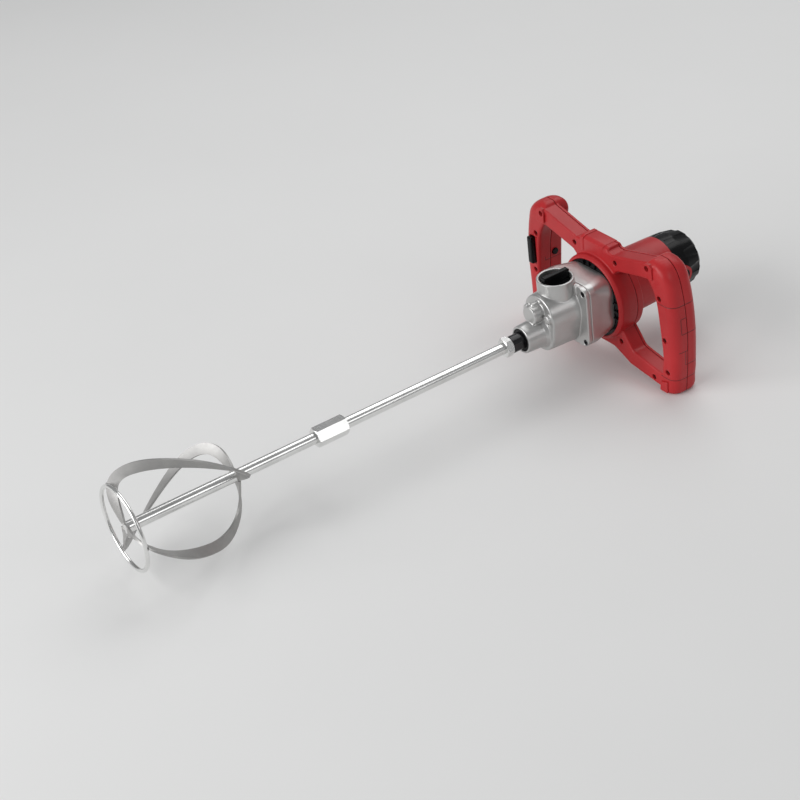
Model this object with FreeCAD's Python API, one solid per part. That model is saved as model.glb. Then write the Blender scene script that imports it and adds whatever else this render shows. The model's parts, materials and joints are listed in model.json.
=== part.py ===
import FreeCAD, Part
import math
import os

# Two-handed mixing drill with a two-speed gearbox and a helical ribbon stirrer.
# Millimetres. While modelling, Y runs along the output spindle with the stirrer at -Y and the
# motor at +Y, X points to the right grip, Z is up, and the spindle axis is x = 0, z = 0.
# The finished pieces are moved once, to an origin under the middle of the whole tool.

V = FreeCAD.Vector
ALONG_Y = V(0, 1, 0)
ALONG_X = V(1, 0, 0)
ALONG_Z = V(0, 0, 1)

# Fits
RUN_GAP = 0.05        # radial gap of a shaft that turns in its seat
SEAT_GAP = 0.02       # radial gap of a seat that stays put
SLIDE_GAP = 0.3       # gap round a moulded piece that slides
CLAMP_GAP = 0.3       # gap between the shells and what they clamp
SPRING_SEAT_GAP = 0.1 # at each end of a spring
SHAFT_ROOM = 0.8      # round a shaft where it passes through a wall
TIP_ROOM = 1.0        # beyond the tip of a screw
JOIN = 1.0            # overlap of shapes that are joined, or cut right through
TINY = 1e-6

# Stirrer
ROD_R = 7.0
HEX_ACROSS_FLATS = 22.0
HEX_CHAMFER = 1.2
HEX_CHAMFER_IN = 1.8
COUPLING_NUT_LENGTH = 42.0
COUPLING_NUT_MIDDLE_Y = -425.0
ROD_END_GAP = 1.0     # between the two rod ends inside the coupling nut
LOCK_NUT_LENGTH = 10.0
RING_R = 51.5
RING_WIRE_R = 2.5
BASKET_TOP_Y = -553.0
BASKET_TIP_Y = -696.0
BASKET_R = 63.0
BASKET_FULLNESS_TOP = 3.45  # exponents of the basket's superellipse, above and below its middle
BASKET_FULLNESS_LOW = 4.8
BLADE_COUNT = 3
BLADE_WIDTH = 13.0
BLADE_THICKNESS = 2.5
BLADE_BITE = 1.5      # how far a blade's ends reach into the rod before they are cut to it
BLADE_START_DEG = 31.0
BLADE_TWIST_DEG = 89.0
BLADE_ROLL_DEG = 90.0       # a strip's turn about its own middle line, halfway: it stands on edge
BLADE_ROLL_CHANGE_DEG = 95.0  # from there to each end, where it lies nearly flat
BLADE_ROLL_POWER = 2.1      # above 1 the strip stays on edge longer
BLADE_STATIONS = 37
RING_SAMPLES = 2000
WELD_BITE = 1.0       # how far the ring is let into the blades' edges
ROD_TIP = 1.0         # rod beyond the blades' lower ends

# Output spindle
SPINDLE_FRONT_Y = -160.0
SPINDLE_NOSE_R = 11.0
SPINDLE_NOSE_LENGTH = 28.0
SPINDLE_FLAT = 1.2
SPINDLE_FLAT_LENGTH = 16.0
SPINDLE_SEAT_R = 8.5
SPINDLE_TAIL_R = 5.0
SOCKET_DEPTH = 24.0
SOCKET_END_GAP = 0.5
SPINDLE_NOSE_CHAMFER = 1.0

# Gear train
PRESSURE_ANGLE_DEG = 25.0
BACKLASH = 0.14
ROOT_ROOM = 0.25
FLANK_STEPS = 3
DRIVE_MODULE = 1.0
LOW_PINION_TEETH = 14
LOW_GEAR_TEETH = 42
HIGH_PINION_TEETH = 18
HIGH_GEAR_TEETH = LOW_PINION_TEETH + LOW_GEAR_TEETH - HIGH_PINION_TEETH
DRIVE_ADDENDUM = 0.9
MOTOR_MODULE = 0.75
MOTOR_PINION_TEETH = 6
MOTOR_GEAR_TEETH = 34
MOTOR_PINION_ADDENDUM = 1.0
MOTOR_GEAR_ADDENDUM = 0.5
LAYSHAFT_Z = DRIVE_MODULE * (LOW_PINION_TEETH + LOW_GEAR_TEETH) / 2
MOTOR_Z = LAYSHAFT_Z - MOTOR_MODULE * (MOTOR_PINION_TEETH + MOTOR_GEAR_TEETH) / 2
GEAR_FACE = 6.6
GEAR_RIM = 4.0             # below the pitch circle
GEAR_HUB_WALL = 3.0
GEAR_DISH = 1.3
PINION_FACE = 7.0
LAYSHAFT_R = 4.0
LAYSHAFT_HEX = 9.0
LAYSHAFT_COLLAR_R = 5.4
MOTOR_GEAR_FACE = 7.5
PINION_OVERHANG = 0.5
LAYSHAFT_REAR_COLLAR_R = 4.8
LAYSHAFT_NOSE = 1.0        # in front of its front bearing
LAYSHAFT_TAIL = 0.5        # behind its rear bearing
LAYSHAFT_END_PLAY = 0.5
LAYSHAFT_HEX_END = 1.0     # behind the low pinion

# Gear selector
SELECTOR_Y = -82.6
SELECTOR_THROW = 4.0       # radius of the eccentric pin's path
SELECTOR_PIN_R = 2.5
SELECTOR_HUB_R = 12.0
SELECTOR_DISC_R = 20.0
SELECTOR_COLLAR_R = 23.6
SELECTOR_COLLAR_TOP_Z = 65.0
SELECTOR_DISC_BOTTOM_Z = 53.0
SELECTOR_DISC_THICKNESS = 4.5
SELECTOR_BAR_WIDTH = 7.0
SELECTOR_BAR_INSET = 0.5   # from the disc's edge
SELECTOR_BAR_RISE = 6.0    # above the collar's rim
SELECTOR_BAR_EDGE_R = 1.5
GROOVE_ROOM = 0.35         # side room of the pin in its groove at the tightest point
GROOVE_BOTTOM_R = 5.9
SHIFT_COLLAR_R = 10.0

# Gear housings
NECK_END_Y = -142.5
NECK_END_R = 18.0
NECK_WAIST_Y = -117.0
NECK_WAIST_R = 19.4
NECK_ROOT_R = 21.5
NECK_CHAMFER = 1.0
NECK_ROOT_LAND = 1.0
BOSS_ROOT = 3.0            # how far the bosses reach into the plate
BOSS_EDGE_R = 1.5
PLATE_Y = -112.0           # front plate of the gear housing
PLATE_TOP_R = 28.6
PLATE_TOP_Z = 20.5
PLATE_LOW_R = 26.5
PLATE_EDGE_R = 2.2
BODY_REAR_TOP_R = 33.0
BODY_REAR_LOW_R = 28.0
FLANGE_REAR_Y = -64.5
FLANGE_THICKNESS = 6.5
REAR_FLANGE_THICKNESS = 9.0
FLANGE_HALF_WIDTH = 44.0
FLANGE_TOP_Z = 57.0
FLANGE_LOW_Z = -26.0
FLANGE_CORNER_R = 13.0
REAR_HALF_WIDTH = 44.0
REAR_TOP_Z = 56.0
REAR_LOW_Z = -25.0
REAR_CORNER_R = 25.0
HOUSING_REAR_Y = -28.0
GEAR_ROOM = 1.0            # air round the gears
GEAR_ROOM_FRONT = 2.0      # air in front of them
COLLAR_ROOM = 3.0          # air round the shift block's collars
BEARING_SHOULDER = 2.5     # ledge behind the front bearing
LAYSHAFT_BOSS_R = 12.5
LAYSHAFT_BOSS_LENGTH = 15.0
BOSS_WEB_WIDTH = 16.0      # web between this boss and the neck
BOSS_WEB_SET_BACK = 3.0
OIL_BOSS_R = 4.0
OIL_BOSS_LENGTH = 11.0
OIL_BOSS_RISE = 11.4       # above the layshaft
SIDE_BOSS_X = 20.0
SIDE_BOSS_Z = 25.0
SIDE_BOSS_R = 6.0
SIDE_BOSS_LENGTH = 4.5
FLANGE_SCREW_X = 37.0
FLANGE_SCREW_TOP_Z = 50.0
FLANGE_SCREW_LOW_Z = -19.0
SCREW_R = 2.0
SCREW_HEAD_R = 3.3
SCREW_HEAD_HEIGHT = 3.5
SCREW_SOCKET_HEX = 3.0
SHANK_ROOM = 0.2           # round a screw in its clearance hole
HEAD_ROOM = 0.4
FLANGE_SCREW_LENGTH = 10.0
BEARING_PLATE_THICKNESS = 7.0
BEARING_PLATE_TOP_R = 17.0
BEARING_PLATE_LOW_R = 18.0
BEARING_PLATE_DROP = 1.0   # of its upper arc below the layshaft
BEARING_PLATE_LEDGE = 2.0

# Bearings, as bore radius, outer radius and width
SPINDLE_FRONT_BEARING = (SPINDLE_SEAT_R, 15.0, 7.0)
SPINDLE_REAR_BEARING = (SPINDLE_TAIL_R, 11.0, 6.0)
LAYSHAFT_BEARING = (LAYSHAFT_R, 8.0, 5.0)
ARMATURE_SHAFT_R = 4.0
ARMATURE_END_GAP = 1.2     # from its rear end to the bearing's rear face
ARMATURE_BEARING = (ARMATURE_SHAFT_R, 11.0, 7.0)
SPINDLE_BEARING_FRONT_Y = -131.0
OUTER_RACE_SHARE = 0.22
INNER_RACE_SHARE = 0.25
SHIELD_DEPTH = 0.5
CIRCLIP_THICKNESS = 1.2
CIRCLIP_WIDTH = 2.5
CIRCLIP_SPLIT = 4.0
SEAL_WIDTH = 5.0
SEAL_RECESS = 1.5
LAYSHAFT_BEARING_FRONT_Y = -108.0
LAYSHAFT_REAR_BEARING_Y = -47.0
ARMATURE_BEARING_FRONT_Y = -41.0

# Motor
BAFFLE_THICKNESS = 3.0
BAFFLE_R = 51.5
BAFFLE_BORE_R = 17.0
BAFFLE_SLOTS = 24
BAFFLE_SLOT_WIDTH = 3.0
BAFFLE_SLOT_INNER_R = 30.0
BAFFLE_SLOT_OUTER_R = 43.0
FAN_R = 41.0
FAN_WIDTH = 12.0
FAN_FRONT_Y = -23.6
FAN_BLADES = 11
FAN_BLADE_THICKNESS = 2.0
FAN_BLADE_INSET = 1.0      # from the fan's front and edge
FAN_HUB_R = 9.0
FAN_DISC_THICKNESS = 2.0
BELL_R = 51.4
BELL_INNER_R = 44.0
MOTOR_TUBE_R = 41.0
MOTOR_TUBE_WALL = 3.5
STATOR_STOP = 2.0          # step that the stator rests on
TUBE_TAPER = 8.0           # inside, behind the stator
WEB_FRONT_Y = 95.0         # wall that carries the rear bearing
WEB_THICKNESS = 4.0
REAR_SEAT_WALL = 4.0
REAR_SEAT_BACK = 2.0
BRUSH_BOSS_ROOT = 2.0
CORE_FRONT_Y = 10.0
CORE_LENGTH = 46.0
CORE_R = 21.5
CORE_SLOTS = 12
CORE_SLOT_WIDTH = 3.2
CORE_SLOT_DEPTH = 7.0
AIR_GAP = 0.6
WINDING_OVERHANG = 9.0
WINDING_R = 18.5
WINDING_STRAIGHT = 5.4     # part of the overhang before it tapers
WINDING_TAPER = 4.0
STATOR_LENGTH = 50.0
STATOR_YOKE = 6.0
POLE_HALF_WIDTH = 15.0
COIL_HALF_WIDTH = 21.0
COIL_GAP = 0.2
COIL_OVERHANG = 7.0
COIL_LOW = 8.0             # lowest part of a coil above the motor's axis
COIL_ROOM = 1.0            # from the armature's bore
BRUSH_Y = 89.0
COMMUTATOR_R = 13.0
COMMUTATOR_LENGTH = 11.0
COMMUTATOR_BARS = 24
COMMUTATOR_SLIT = 0.6
COMMUTATOR_SLIT_DEPTH = 1.0
BRUSH_HEIGHT = 8.0
BRUSH_WIDTH = 6.0
BRUSH_LENGTH = 14.0
BRUSH_TUBE_WALL = 1.2
BRUSH_TUBE_GAP = 2.0       # from the commutator to the holders
BRUSH_HOLLOW = 1.0         # depth of the hollow face of a brush
BRUSH_CAP_PROUD = 0.8
BRUSH_CAP_SLOT = 2.0
BRUSH_CAP_SLOT_DEPTH = 1.6
BRUSH_TUBE_LENGTH = 22.0
BRUSH_GAP = 0.3
BRUSH_BOSS_R = 12.3
BRUSH_BOSS_X = 42.0
BRUSH_CAP_R = 8.0
BRUSH_SPRING_R = 2.3
BRUSH_SPRING_WIRE_R = 0.45
BRUSH_SPRING_PITCH = 1.9
ARMATURE_REAR_BEARING_Y = 103.0
CAP_FRONT_Y = 82.0
CAP_REAR_Y = 123.0
CAP_FRONT_R = 39.5
CAP_REAR_R = 34.5
CAP_WALL = 2.6
CAP_DRAFT = 0.6
CAP_BEND = 3.0             # from its rear face to where the side bends in
CAP_BEND_OUT = 1.0
CAP_REAR_EDGE = 1.5
CAP_ARCH_REACH = 5.0       # of the arch's cut beyond the cap
CAP_FLUTES = 10
CAP_FLUTE_R = 14.0
CAP_FLUTE_FRONT_Y = 84.5
CAP_FLUTE_BEND_Y = 101.0   # behind it the flutes deepen
CAP_FLUTE_FRONT_DEPTH = 1.3
CAP_FLUTE_REAR_DEPTH = 2.0
CAP_SCREW_X = 21.5
CAP_SCREW_SINK = 6.0
CAP_POST_WALL = 1.6
MOTOR_SCREW_ANGLE_DEG = 37.0
MOTOR_SCREW_PCR = 47.6
MOTOR_SCREW_DEPTH = 11.0   # in the rear gear housing
BELL_FLOOR = 7.0           # under the heads of these screws

# Handle frame
SHELL_WALL = 3.0
FRAME_FRONT_Y = -20.0
FRAME_REAR_Y = 4.0
GRIP_REAR_Y = 20.0
GRIP_FRONT_Y = -20.5
FRAME_EDGE_R = 2.4
DRUM_R = 57.0
COVER_STEP = 3.0            # from the drum's side to the joint of a grip's rear cover
DRUM_BREAK_Y = -14.0        # behind it the drum tapers
RIM_Y = -29.0
RIM_R = 54.7
RIM_CHAMFER = 0.8
RIM_LENGTH = 4.0
RECESS_R = 52.0
RECESS_REAR_Y = -7.0
DRUM_REAR_Y = 10.0
DRUM_REAR_R = 54.4
SADDLE_HALF_WIDTH = 25.0
SADDLE_TOP_Z = 88.5
SADDLE_FRONT_Z = 86.0
SADDLE_LOW_Z = 66.0
SADDLE_EDGE_R = 2.0
SADDLE_SET_BACK = 0.5
SADDLE_OVERHANG = 1.5
FOOT_Z = -76.0
FOOT_ROUND = 4.0

# Grip stations from foot to ear: height, inner x, outer x, front y, rear y
GRIP_STATIONS = [
    (FOOT_Z, 119.0, 137.0, -17.0, 16.5),
    (FOOT_Z + FOOT_ROUND, 116.5, 141.0, GRIP_FRONT_Y, 19.5),
    (-63.0, 117.4, 142.4, GRIP_FRONT_Y, GRIP_REAR_Y),
    (-50.0, 119.2, 143.7, GRIP_FRONT_Y, GRIP_REAR_Y),
    (-30.0, 121.5, 145.3, GRIP_FRONT_Y, GRIP_REAR_Y),
    (8.0, 119.0, 146.6, GRIP_FRONT_Y, GRIP_REAR_Y),
    (44.0, 114.5, 144.2, GRIP_FRONT_Y, GRIP_REAR_Y),
    (64.0, 108.0, 140.8, GRIP_FRONT_Y, GRIP_REAR_Y),
    (80.0, 97.5, 136.5, -21.0, GRIP_REAR_Y),
    (92.0, 96.0, 130.5, GRIP_FRONT_Y, 19.0),
    (100.0, 99.5, 121.5, -16.5, 15.0),
    (102.6, 104.0, 115.5, -11.0, 10.0),
]
GRIP_OUTER_R = 12.5
GRIP_INNER_R = 4.0
GRIP_FLAT = 1.0            # least flat left between two corners

# Arm outlines for the right side, from the middle outwards: x, z and the corner's radius
UPPER_ARM_TOP = [(23.0, 84.5, 3.0), (36.0, 83.0, 12.0), (97.0, 98.0, 3.0)]
UPPER_ARM_END_X = 112.0
UPPER_ARM_LOW = [(97.0, 75.0, 3.0), (84.0, 72.5, 12.0), (43.0, 63.0, 4.0), (30.0, 52.0, 4.0)]
LOWER_ARM_TOP = [(32.0, -14.0, 4.0), (47.0, -20.0, 5.0), (65.0, -42.0, 10.0)]
LOWER_ARM_END_X = 128.0
LOWER_ARM_END_TOP_Z = -53.0
LOWER_ARM_END_LOW_Z = -71.5
ARM_END_R = 2.0
LOWER_ARM_LOW = [(59.0, -63.5, 12.0), (29.0, -50.5, 10.0)]

# Shell screws on the right side: x, z
GRIP_SCREWS = [(102.0, 92.0), (119.7, 56.0), (126.4, 0.0), (130.5, -44.0)]
ARM_SCREWS = [(39.0, 73.5), (43.0, -37.0), (104.0, -62.3)]
GRIP_SCREW_COVER = 6.0     # from a screw hole's end to the rear face
ARM_SCREW_COVER = 1.5
SHELL_TIP_ROOM = 0.5
CROSS_LENGTH = 3.8          # of the recess in a shell screw's head
CROSS_WIDTH = 0.8
CROSS_DEPTH = 1.2
SHELL_SCREW_R = 1.7
SHELL_SCREW_HEAD_R = 3.2
SHELL_SCREW_HEAD_HEIGHT = 2.2
SHELL_SCREW_SINK = 3.0
SHELL_BOSS_R = 4.6

# Switch, trigger and lock button in the left grip
TRIGGER_X = -127.2
TRIGGER_WIDTH = 9.0
TRIGGER_Z = 30.5
TRIGGER_HEIGHT = 38.0
TRIGGER_PROUD = 7.0
TRIGGER_EDGE_R = 2.0
TRIGGER_TRAVEL = 6.0
TRIGGER_FLANGE = 2.2        # above and below the trigger
TRIGGER_FLANGE_SIDE = 0.8
TRIGGER_FLANGE_THICKNESS = 2.5
TRIGGER_STEM_R = 2.5
STEM_DEPTH = 6.0           # of the trigger's stem in the switch at rest
TRIGGER_SPRING_R = 3.6
TRIGGER_SPRING_WIRE_R = 0.5
TRIGGER_SPRING_PITCH = 3.2
SPRING_POCKET_DEPTH = 4.0  # in the switch, so that the pulled trigger leaves room for the coils
SWITCH_FRONT_Y = -6.0
SWITCH_WIDTH = 10.0
SWITCH_HEIGHT = 42.0
BUTTON_Y = 7.0
BUTTON_Z = 20.0
BUTTON_R = 4.3
BUTTON_FLANGE_R = 6.0
BUTTON_PROUD = 2.0
BUTTON_TRAVEL = 2.5
BUTTON_EDGE_R = 0.8
BUTTON_BORE_REACH = 8.0    # of its bore beyond the button's face
BUTTON_FLANGE_DROP = 1.0   # inside the grip's leaning wall
BUTTON_FLANGE_THICKNESS = 1.2
CORD_BUSH_X = -129.0
CORD_BUSH_Z = -56.0
CORD_BUSH_R = 7.0
CORD_BUSH_FLANGE_R = 9.0
CORD_BORE_R = 4.0
CORD_BUSH_PROUD = 4.0
CORD_BUSH_DEPTH = 9.0      # inside the grip's rear face

# Places along Y that follow from the sizes above
SHIFT_TRAVEL = 2 * SELECTOR_THROW
PIN_WANDER = 0.2105 * SELECTOR_THROW  # pin's largest lag behind an even slide over half a turn
GROOVE_WIDTH = 2 * (SELECTOR_PIN_R + PIN_WANDER + GROOVE_ROOM)
GROOVE_Y = SELECTOR_Y + SELECTOR_THROW
LOW_PINION_REAR_Y = -66.0
LOW_PINION_FRONT_Y = LOW_PINION_REAR_Y - PINION_FACE
HIGH_PINION_REAR_Y = 2 * GROOVE_Y - LOW_PINION_FRONT_Y
HIGH_PINION_FRONT_Y = HIGH_PINION_REAR_Y - PINION_FACE
HIGH_GEAR_FRONT_Y = HIGH_PINION_FRONT_Y - SHIFT_TRAVEL
MOTOR_GEAR_REAR_Y = -48.0
MOTOR_PINION_FRONT_Y = MOTOR_GEAR_REAR_Y - MOTOR_GEAR_FACE - PINION_OVERHANG
SPINDLE_REAR_Y = -58.0


def cylinder(radius, start, length, direction=ALONG_Y):
    """Solid cylinder from a start point along a direction."""
    return Part.makeCylinder(radius, length, start, direction)


def rod_y(radius, y0, y1, x=0.0, z=0.0):
    """Solid cylinder along Y between two places."""
    return cylinder(radius, V(x, y0, z), y1 - y0)


def ring_y(outer, inner, y0, y1, x=0.0, z=0.0):
    """Tube along Y between two places."""
    return rod_y(outer, y0, y1, x, z).cut(rod_y(inner, y0, y1, x, z))


def block(x0, x1, y0, y1, z0, z1):
    """Box between two corners."""
    return Part.makeBox(x1 - x0, y1 - y0, z1 - z0, V(x0, y0, z0))


def turned(profile, z=0.0):
    """Solid of revolution about a Y axis, from points of radius and y."""
    points = [V(radius, y, z) for radius, y in profile]
    face = Part.Face(Part.makePolygon(points + points[:1]))
    return face.revolve(V(0, 0, z), ALONG_Y, 360)


def prism_y(points, y0, y1):
    """Straight prism along Y from x, z corner points."""
    corners = [V(x, y0, z) for x, z in points]
    return Part.Face(Part.makePolygon(corners + corners[:1])).extrude(V(0, y1 - y0, 0))


def hexagon(across_flats, y0, y1, z=0.0):
    """Hexagonal bar along Y with two flats level."""
    radius = across_flats / math.sqrt(3)
    angles = [math.radians(60 * i) for i in range(6)]
    return prism_y([(radius * math.cos(a), z + radius * math.sin(a)) for a in angles], y0, y1)


def rounded_wire(corners, y):
    """Closed outline of straight runs and tangent arcs in a plane of constant y."""
    edges = []
    starts = []
    ends = []
    count = len(corners)
    for i, (x, z, radius) in enumerate(corners):
        here = V(x, y, z)
        before = V(corners[i - 1][0], y, corners[i - 1][1])
        after = V(corners[(i + 1) % count][0], y, corners[(i + 1) % count][1])
        to_before = (before - here).normalize()
        to_after = (after - here).normalize()
        half = to_before.getAngle(to_after) / 2
        reach = radius / math.tan(half)
        bisector = (to_before + to_after).normalize()
        middle = here + bisector * (radius / math.sin(half) - radius)
        starts.append(here + to_before * reach)
        ends.append(here + to_after * reach)
        edges.append(Part.Arc(starts[-1], middle, ends[-1]).toShape())
    runs = [Part.makeLine(ends[i], starts[(i + 1) % count]) for i in range(count)]
    return Part.Wire([edge for pair in zip(edges, runs) for edge in pair])


def egg_wire(top_r, top_z, low_r, low_z, y):
    """Two arcs one above the other, joined by their common tangents."""
    lean = math.asin((low_r - top_r) / (top_z - low_z))
    top_side = V(top_r * math.cos(lean), y, top_z + top_r * math.sin(lean))
    low_side = V(low_r * math.cos(lean), y, low_z + low_r * math.sin(lean))
    top_left = V(-top_side.x, y, top_side.z)
    low_left = V(-low_side.x, y, low_side.z)
    return Part.Wire([
        Part.Arc(top_left, V(0, y, top_z + top_r), top_side).toShape(),
        Part.makeLine(top_side, low_side),
        Part.Arc(low_side, V(0, y, low_z - low_r), low_left).toShape(),
        Part.makeLine(low_left, top_left),
    ])


def wire_prism(wire, length):
    """Prism along Y from a closed outline."""
    return Part.Face(wire).extrude(V(0, length, 0))


def mirrored(shape):
    """The same shape on the other side of the tool."""
    return shape.mirror(V(0, 0, 0), ALONG_X)


def both_sides(shape):
    """A shape and its mirror image in one solid."""
    return shape.fuse(mirrored(shape))


def fused(shapes):
    """One solid from several."""
    return shapes[0].multiFuse(shapes[1:]).removeSplitter()


def plane_edges(shape, y):
    """Edges of a shape that lie in a plane of constant y."""
    return [e for e in shape.Edges if abs(e.BoundBox.YMin - y) + abs(e.BoundBox.YMax - y) < TINY]


def gear(teeth, module, addendum, face_y0, face_y1, tooth_angle, centre_z, bore=0.0):
    """Involute spur gear along Y, one tooth pointing at an angle from +Z."""
    pitch_r = module * teeth / 2
    base_r = pitch_r * math.cos(math.radians(PRESSURE_ANGLE_DEG))
    tip_r = pitch_r + addendum * module
    root_r = pitch_r - module - ROOT_ROOM
    at_pitch = math.tan(math.radians(PRESSURE_ANGLE_DEG)) - math.radians(PRESSURE_ANGLE_DEG)
    half_pitch = math.pi / (2 * teeth) - BACKLASH / (2 * pitch_r)
    start_r = max(base_r, root_r)
    flank = [(root_r, half_pitch + at_pitch)] if start_r > root_r else []
    for step in range(FLANK_STEPS + 1):
        radius = start_r + (tip_r - start_r) * step / FLANK_STEPS
        roll = math.acos(min(1.0, base_r / radius))
        flank.append((radius, half_pitch + at_pitch - (math.tan(roll) - roll)))
    points = []
    for tooth in range(teeth):
        centre = tooth_angle + 2 * math.pi * tooth / teeth
        side = [(r, centre - a) for r, a in flank] + [(r, centre + a) for r, a in reversed(flank)]
        points += [(r * math.sin(a), centre_z + r * math.cos(a)) for r, a in side]
    solid = prism_y(points, face_y0, face_y1)
    return solid.cut(rod_y(bore, face_y0, face_y1, 0, centre_z)) if bore else solid


def helix_point(radius, pitch, angle):
    """Point on a helix about +Z, and the direction of travel there."""
    place = V(radius * math.cos(angle), radius * math.sin(angle), pitch * angle / math.tau)
    heading = V(-radius * math.sin(angle), radius * math.cos(angle), pitch / math.tau)
    return place, heading.normalize()


def tangent_arc(start, heading, end):
    """Arc that leaves a point in a given direction and ends at another point."""
    chord = end - start
    side = heading - chord * (heading.dot(chord) / chord.dot(chord))
    rise = chord.Length / 2 * math.tan(heading.getAngle(chord) / 2)
    middle = (start + end) * 0.5 + side.normalize() * rise
    return Part.Arc(start, middle, end).toShape()


def biarc(first, leaving, last, arriving):
    """Two arcs that join two points and keep the direction at both."""
    chord = last - first
    pull = chord.dot(leaving + arriving)
    bend = 2 * (1 - leaving.dot(arriving))
    reach = (math.sqrt(pull ** 2 + bend * chord.dot(chord)) - pull) / bend
    before = first + leaving * reach
    after = last - arriving * reach
    joint = (before + after) * 0.5
    return [tangent_arc(first, leaving, joint), tangent_arc(joint, (after - before).normalize(), last)]


def coil_spring(radius, wire_r, pitch, length, start, direction):
    """Compression spring as one unbroken wire about a straight axis, in quarter turns."""
    sweep = (length - 2 * wire_r) / pitch * math.tau
    count = math.ceil(sweep / (math.pi / 2))
    points = [helix_point(radius, pitch, sweep * i / count) for i in range(count + 1)]
    edges = []
    for (first, leaving), (last, arriving) in zip(points, points[1:]):
        edges += biarc(first, leaving, last, arriving)
    section = Part.Wire(Part.makeCircle(wire_r, *points[0]))
    spring = Part.Wire(edges).makePipeShell([section], True, False)
    spring.translate(V(0, 0, wire_r))
    turn = FreeCAD.Rotation(ALONG_Z, direction)
    spring.Placement = FreeCAD.Placement(start, turn).multiply(spring.Placement)
    return spring


# Stirrer

def stirrer_rods():
    """Upper rod in the spindle's socket and lower rod that carries the basket."""
    socket_end = SPINDLE_FRONT_Y + SOCKET_DEPTH - SOCKET_END_GAP
    upper = rod_y(ROD_R, COUPLING_NUT_MIDDLE_Y + ROD_END_GAP / 2, socket_end)
    lower = rod_y(ROD_R, BASKET_TIP_Y - ROD_TIP, COUPLING_NUT_MIDDLE_Y - ROD_END_GAP / 2)
    return upper, lower


def hex_nut(y0, length):
    """Hexagon nut with turned ends on the stirrer's rod."""
    corner_r = HEX_ACROSS_FLATS / math.sqrt(3)
    low_r = corner_r - HEX_CHAMFER_IN
    y1 = y0 + length
    turned_ends = turned([(0, y0), (low_r, y0), (corner_r, y0 + HEX_CHAMFER),
                          (corner_r, y1 - HEX_CHAMFER), (low_r, y1), (0, y1)])
    bore = rod_y(ROD_R + SEAT_GAP, y0, y1)
    return hexagon(HEX_ACROSS_FLATS, y0, y1).common(turned_ends).cut(bore)


def basket_profile(t):
    """Radius and y of the basket's outline: t runs from 0 at the top to pi at the tip."""
    middle_y = (BASKET_TOP_Y + BASKET_TIP_Y) / 2
    half = (BASKET_TOP_Y - BASKET_TIP_Y) / 2
    fullness = BASKET_FULLNESS_TOP if t < math.pi / 2 else BASKET_FULLNESS_LOW
    along = math.copysign(abs(math.cos(t)) ** (2 / fullness), math.cos(t))
    inner_r = ROD_R - BLADE_BITE
    radius = inner_r + (BASKET_R - inner_r) * abs(math.sin(t)) ** (2 / fullness)
    return radius, middle_y + half * along


def blade_path(index, samples=960):
    """Points along a blade's middle line, from the rod's side to its tip."""
    points = []
    for i in range(samples + 1):
        radius, y = basket_profile(math.pi * i / samples)
        share = (BASKET_TOP_Y - y) / (BASKET_TOP_Y - BASKET_TIP_Y)
        turn = math.radians(BLADE_START_DEG + BLADE_TWIST_DEG * share - 360 * index / BLADE_COUNT)
        points.append(V(radius * math.cos(turn), y, radius * math.sin(turn)))
    return points


def even_points(points, count):
    """The same path with points at even distances along it."""
    lengths = [0.0]
    for a, b in zip(points, points[1:]):
        lengths.append(lengths[-1] + (b - a).Length)
    result = []
    k = 0
    for i in range(count):
        target = lengths[-1] * i / (count - 1)
        while k < len(points) - 2 and lengths[k + 1] < target:
            k += 1
        share = (target - lengths[k]) / (lengths[k + 1] - lengths[k])
        result.append(points[k] + (points[k + 1] - points[k]) * share)
    return result


def blade_sections(index):
    """Middle points of a blade, each with half its width and half its thickness as vectors."""
    path = even_points(blade_path(index), BLADE_STATIONS)
    last = len(path) - 1
    sections = []
    for i, point in enumerate(path):
        ahead = (path[min(i + 1, last)] - path[max(i - 1, 0)]).normalize()
        around = V(-point.z, 0, point.x).normalize()
        outward = around.cross(ahead).normalize()
        across = ahead.cross(outward)
        share = 1 - 2 * i / last
        roll = BLADE_ROLL_DEG + BLADE_ROLL_CHANGE_DEG * math.copysign(abs(share) ** BLADE_ROLL_POWER, share)
        roll = math.radians(roll)
        w = (across * math.cos(roll) + outward * math.sin(roll)) * (BLADE_WIDTH / 2)
        h = (outward * math.cos(roll) - across * math.sin(roll)) * (BLADE_THICKNESS / 2)
        sections.append((point, w, h))
    return sections


def stirrer_blade(index, lower_rod, ring):
    """Flat strip that winds from the rod out to the basket and in to the tip, half turned on the way."""
    outlines = []
    for point, w, h in blade_sections(index):
        corners = [point + w + h, point - w + h, point - w - h, point + w - h]
        outlines.append(Part.makePolygon(corners + corners[:1]))
    strip = Part.makeLoft(outlines, True, False)
    return strip.cut(lower_rod).cut(ring)


def ring_y_place():
    """Height at which the ring lies in the outer edges of the blades."""
    reach = RING_WIRE_R - WELD_BITE
    edge = [point + w for point, w, h in blade_sections(0)]
    lowest = 0.0
    for point in even_points(edge, RING_SAMPLES):
        aside = math.hypot(point.x, point.z) - RING_R
        if point.y < (BASKET_TOP_Y + BASKET_TIP_Y) / 2 and abs(aside) < reach:
            lowest = min(lowest, point.y - math.sqrt(reach ** 2 - aside ** 2))
    return lowest


def stirrer_ring():
    """Round wire ring at the foot of the basket."""
    return Part.makeTorus(RING_R, RING_WIRE_R, V(0, ring_y_place(), 0), ALONG_Y)


# Gearbox

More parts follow.
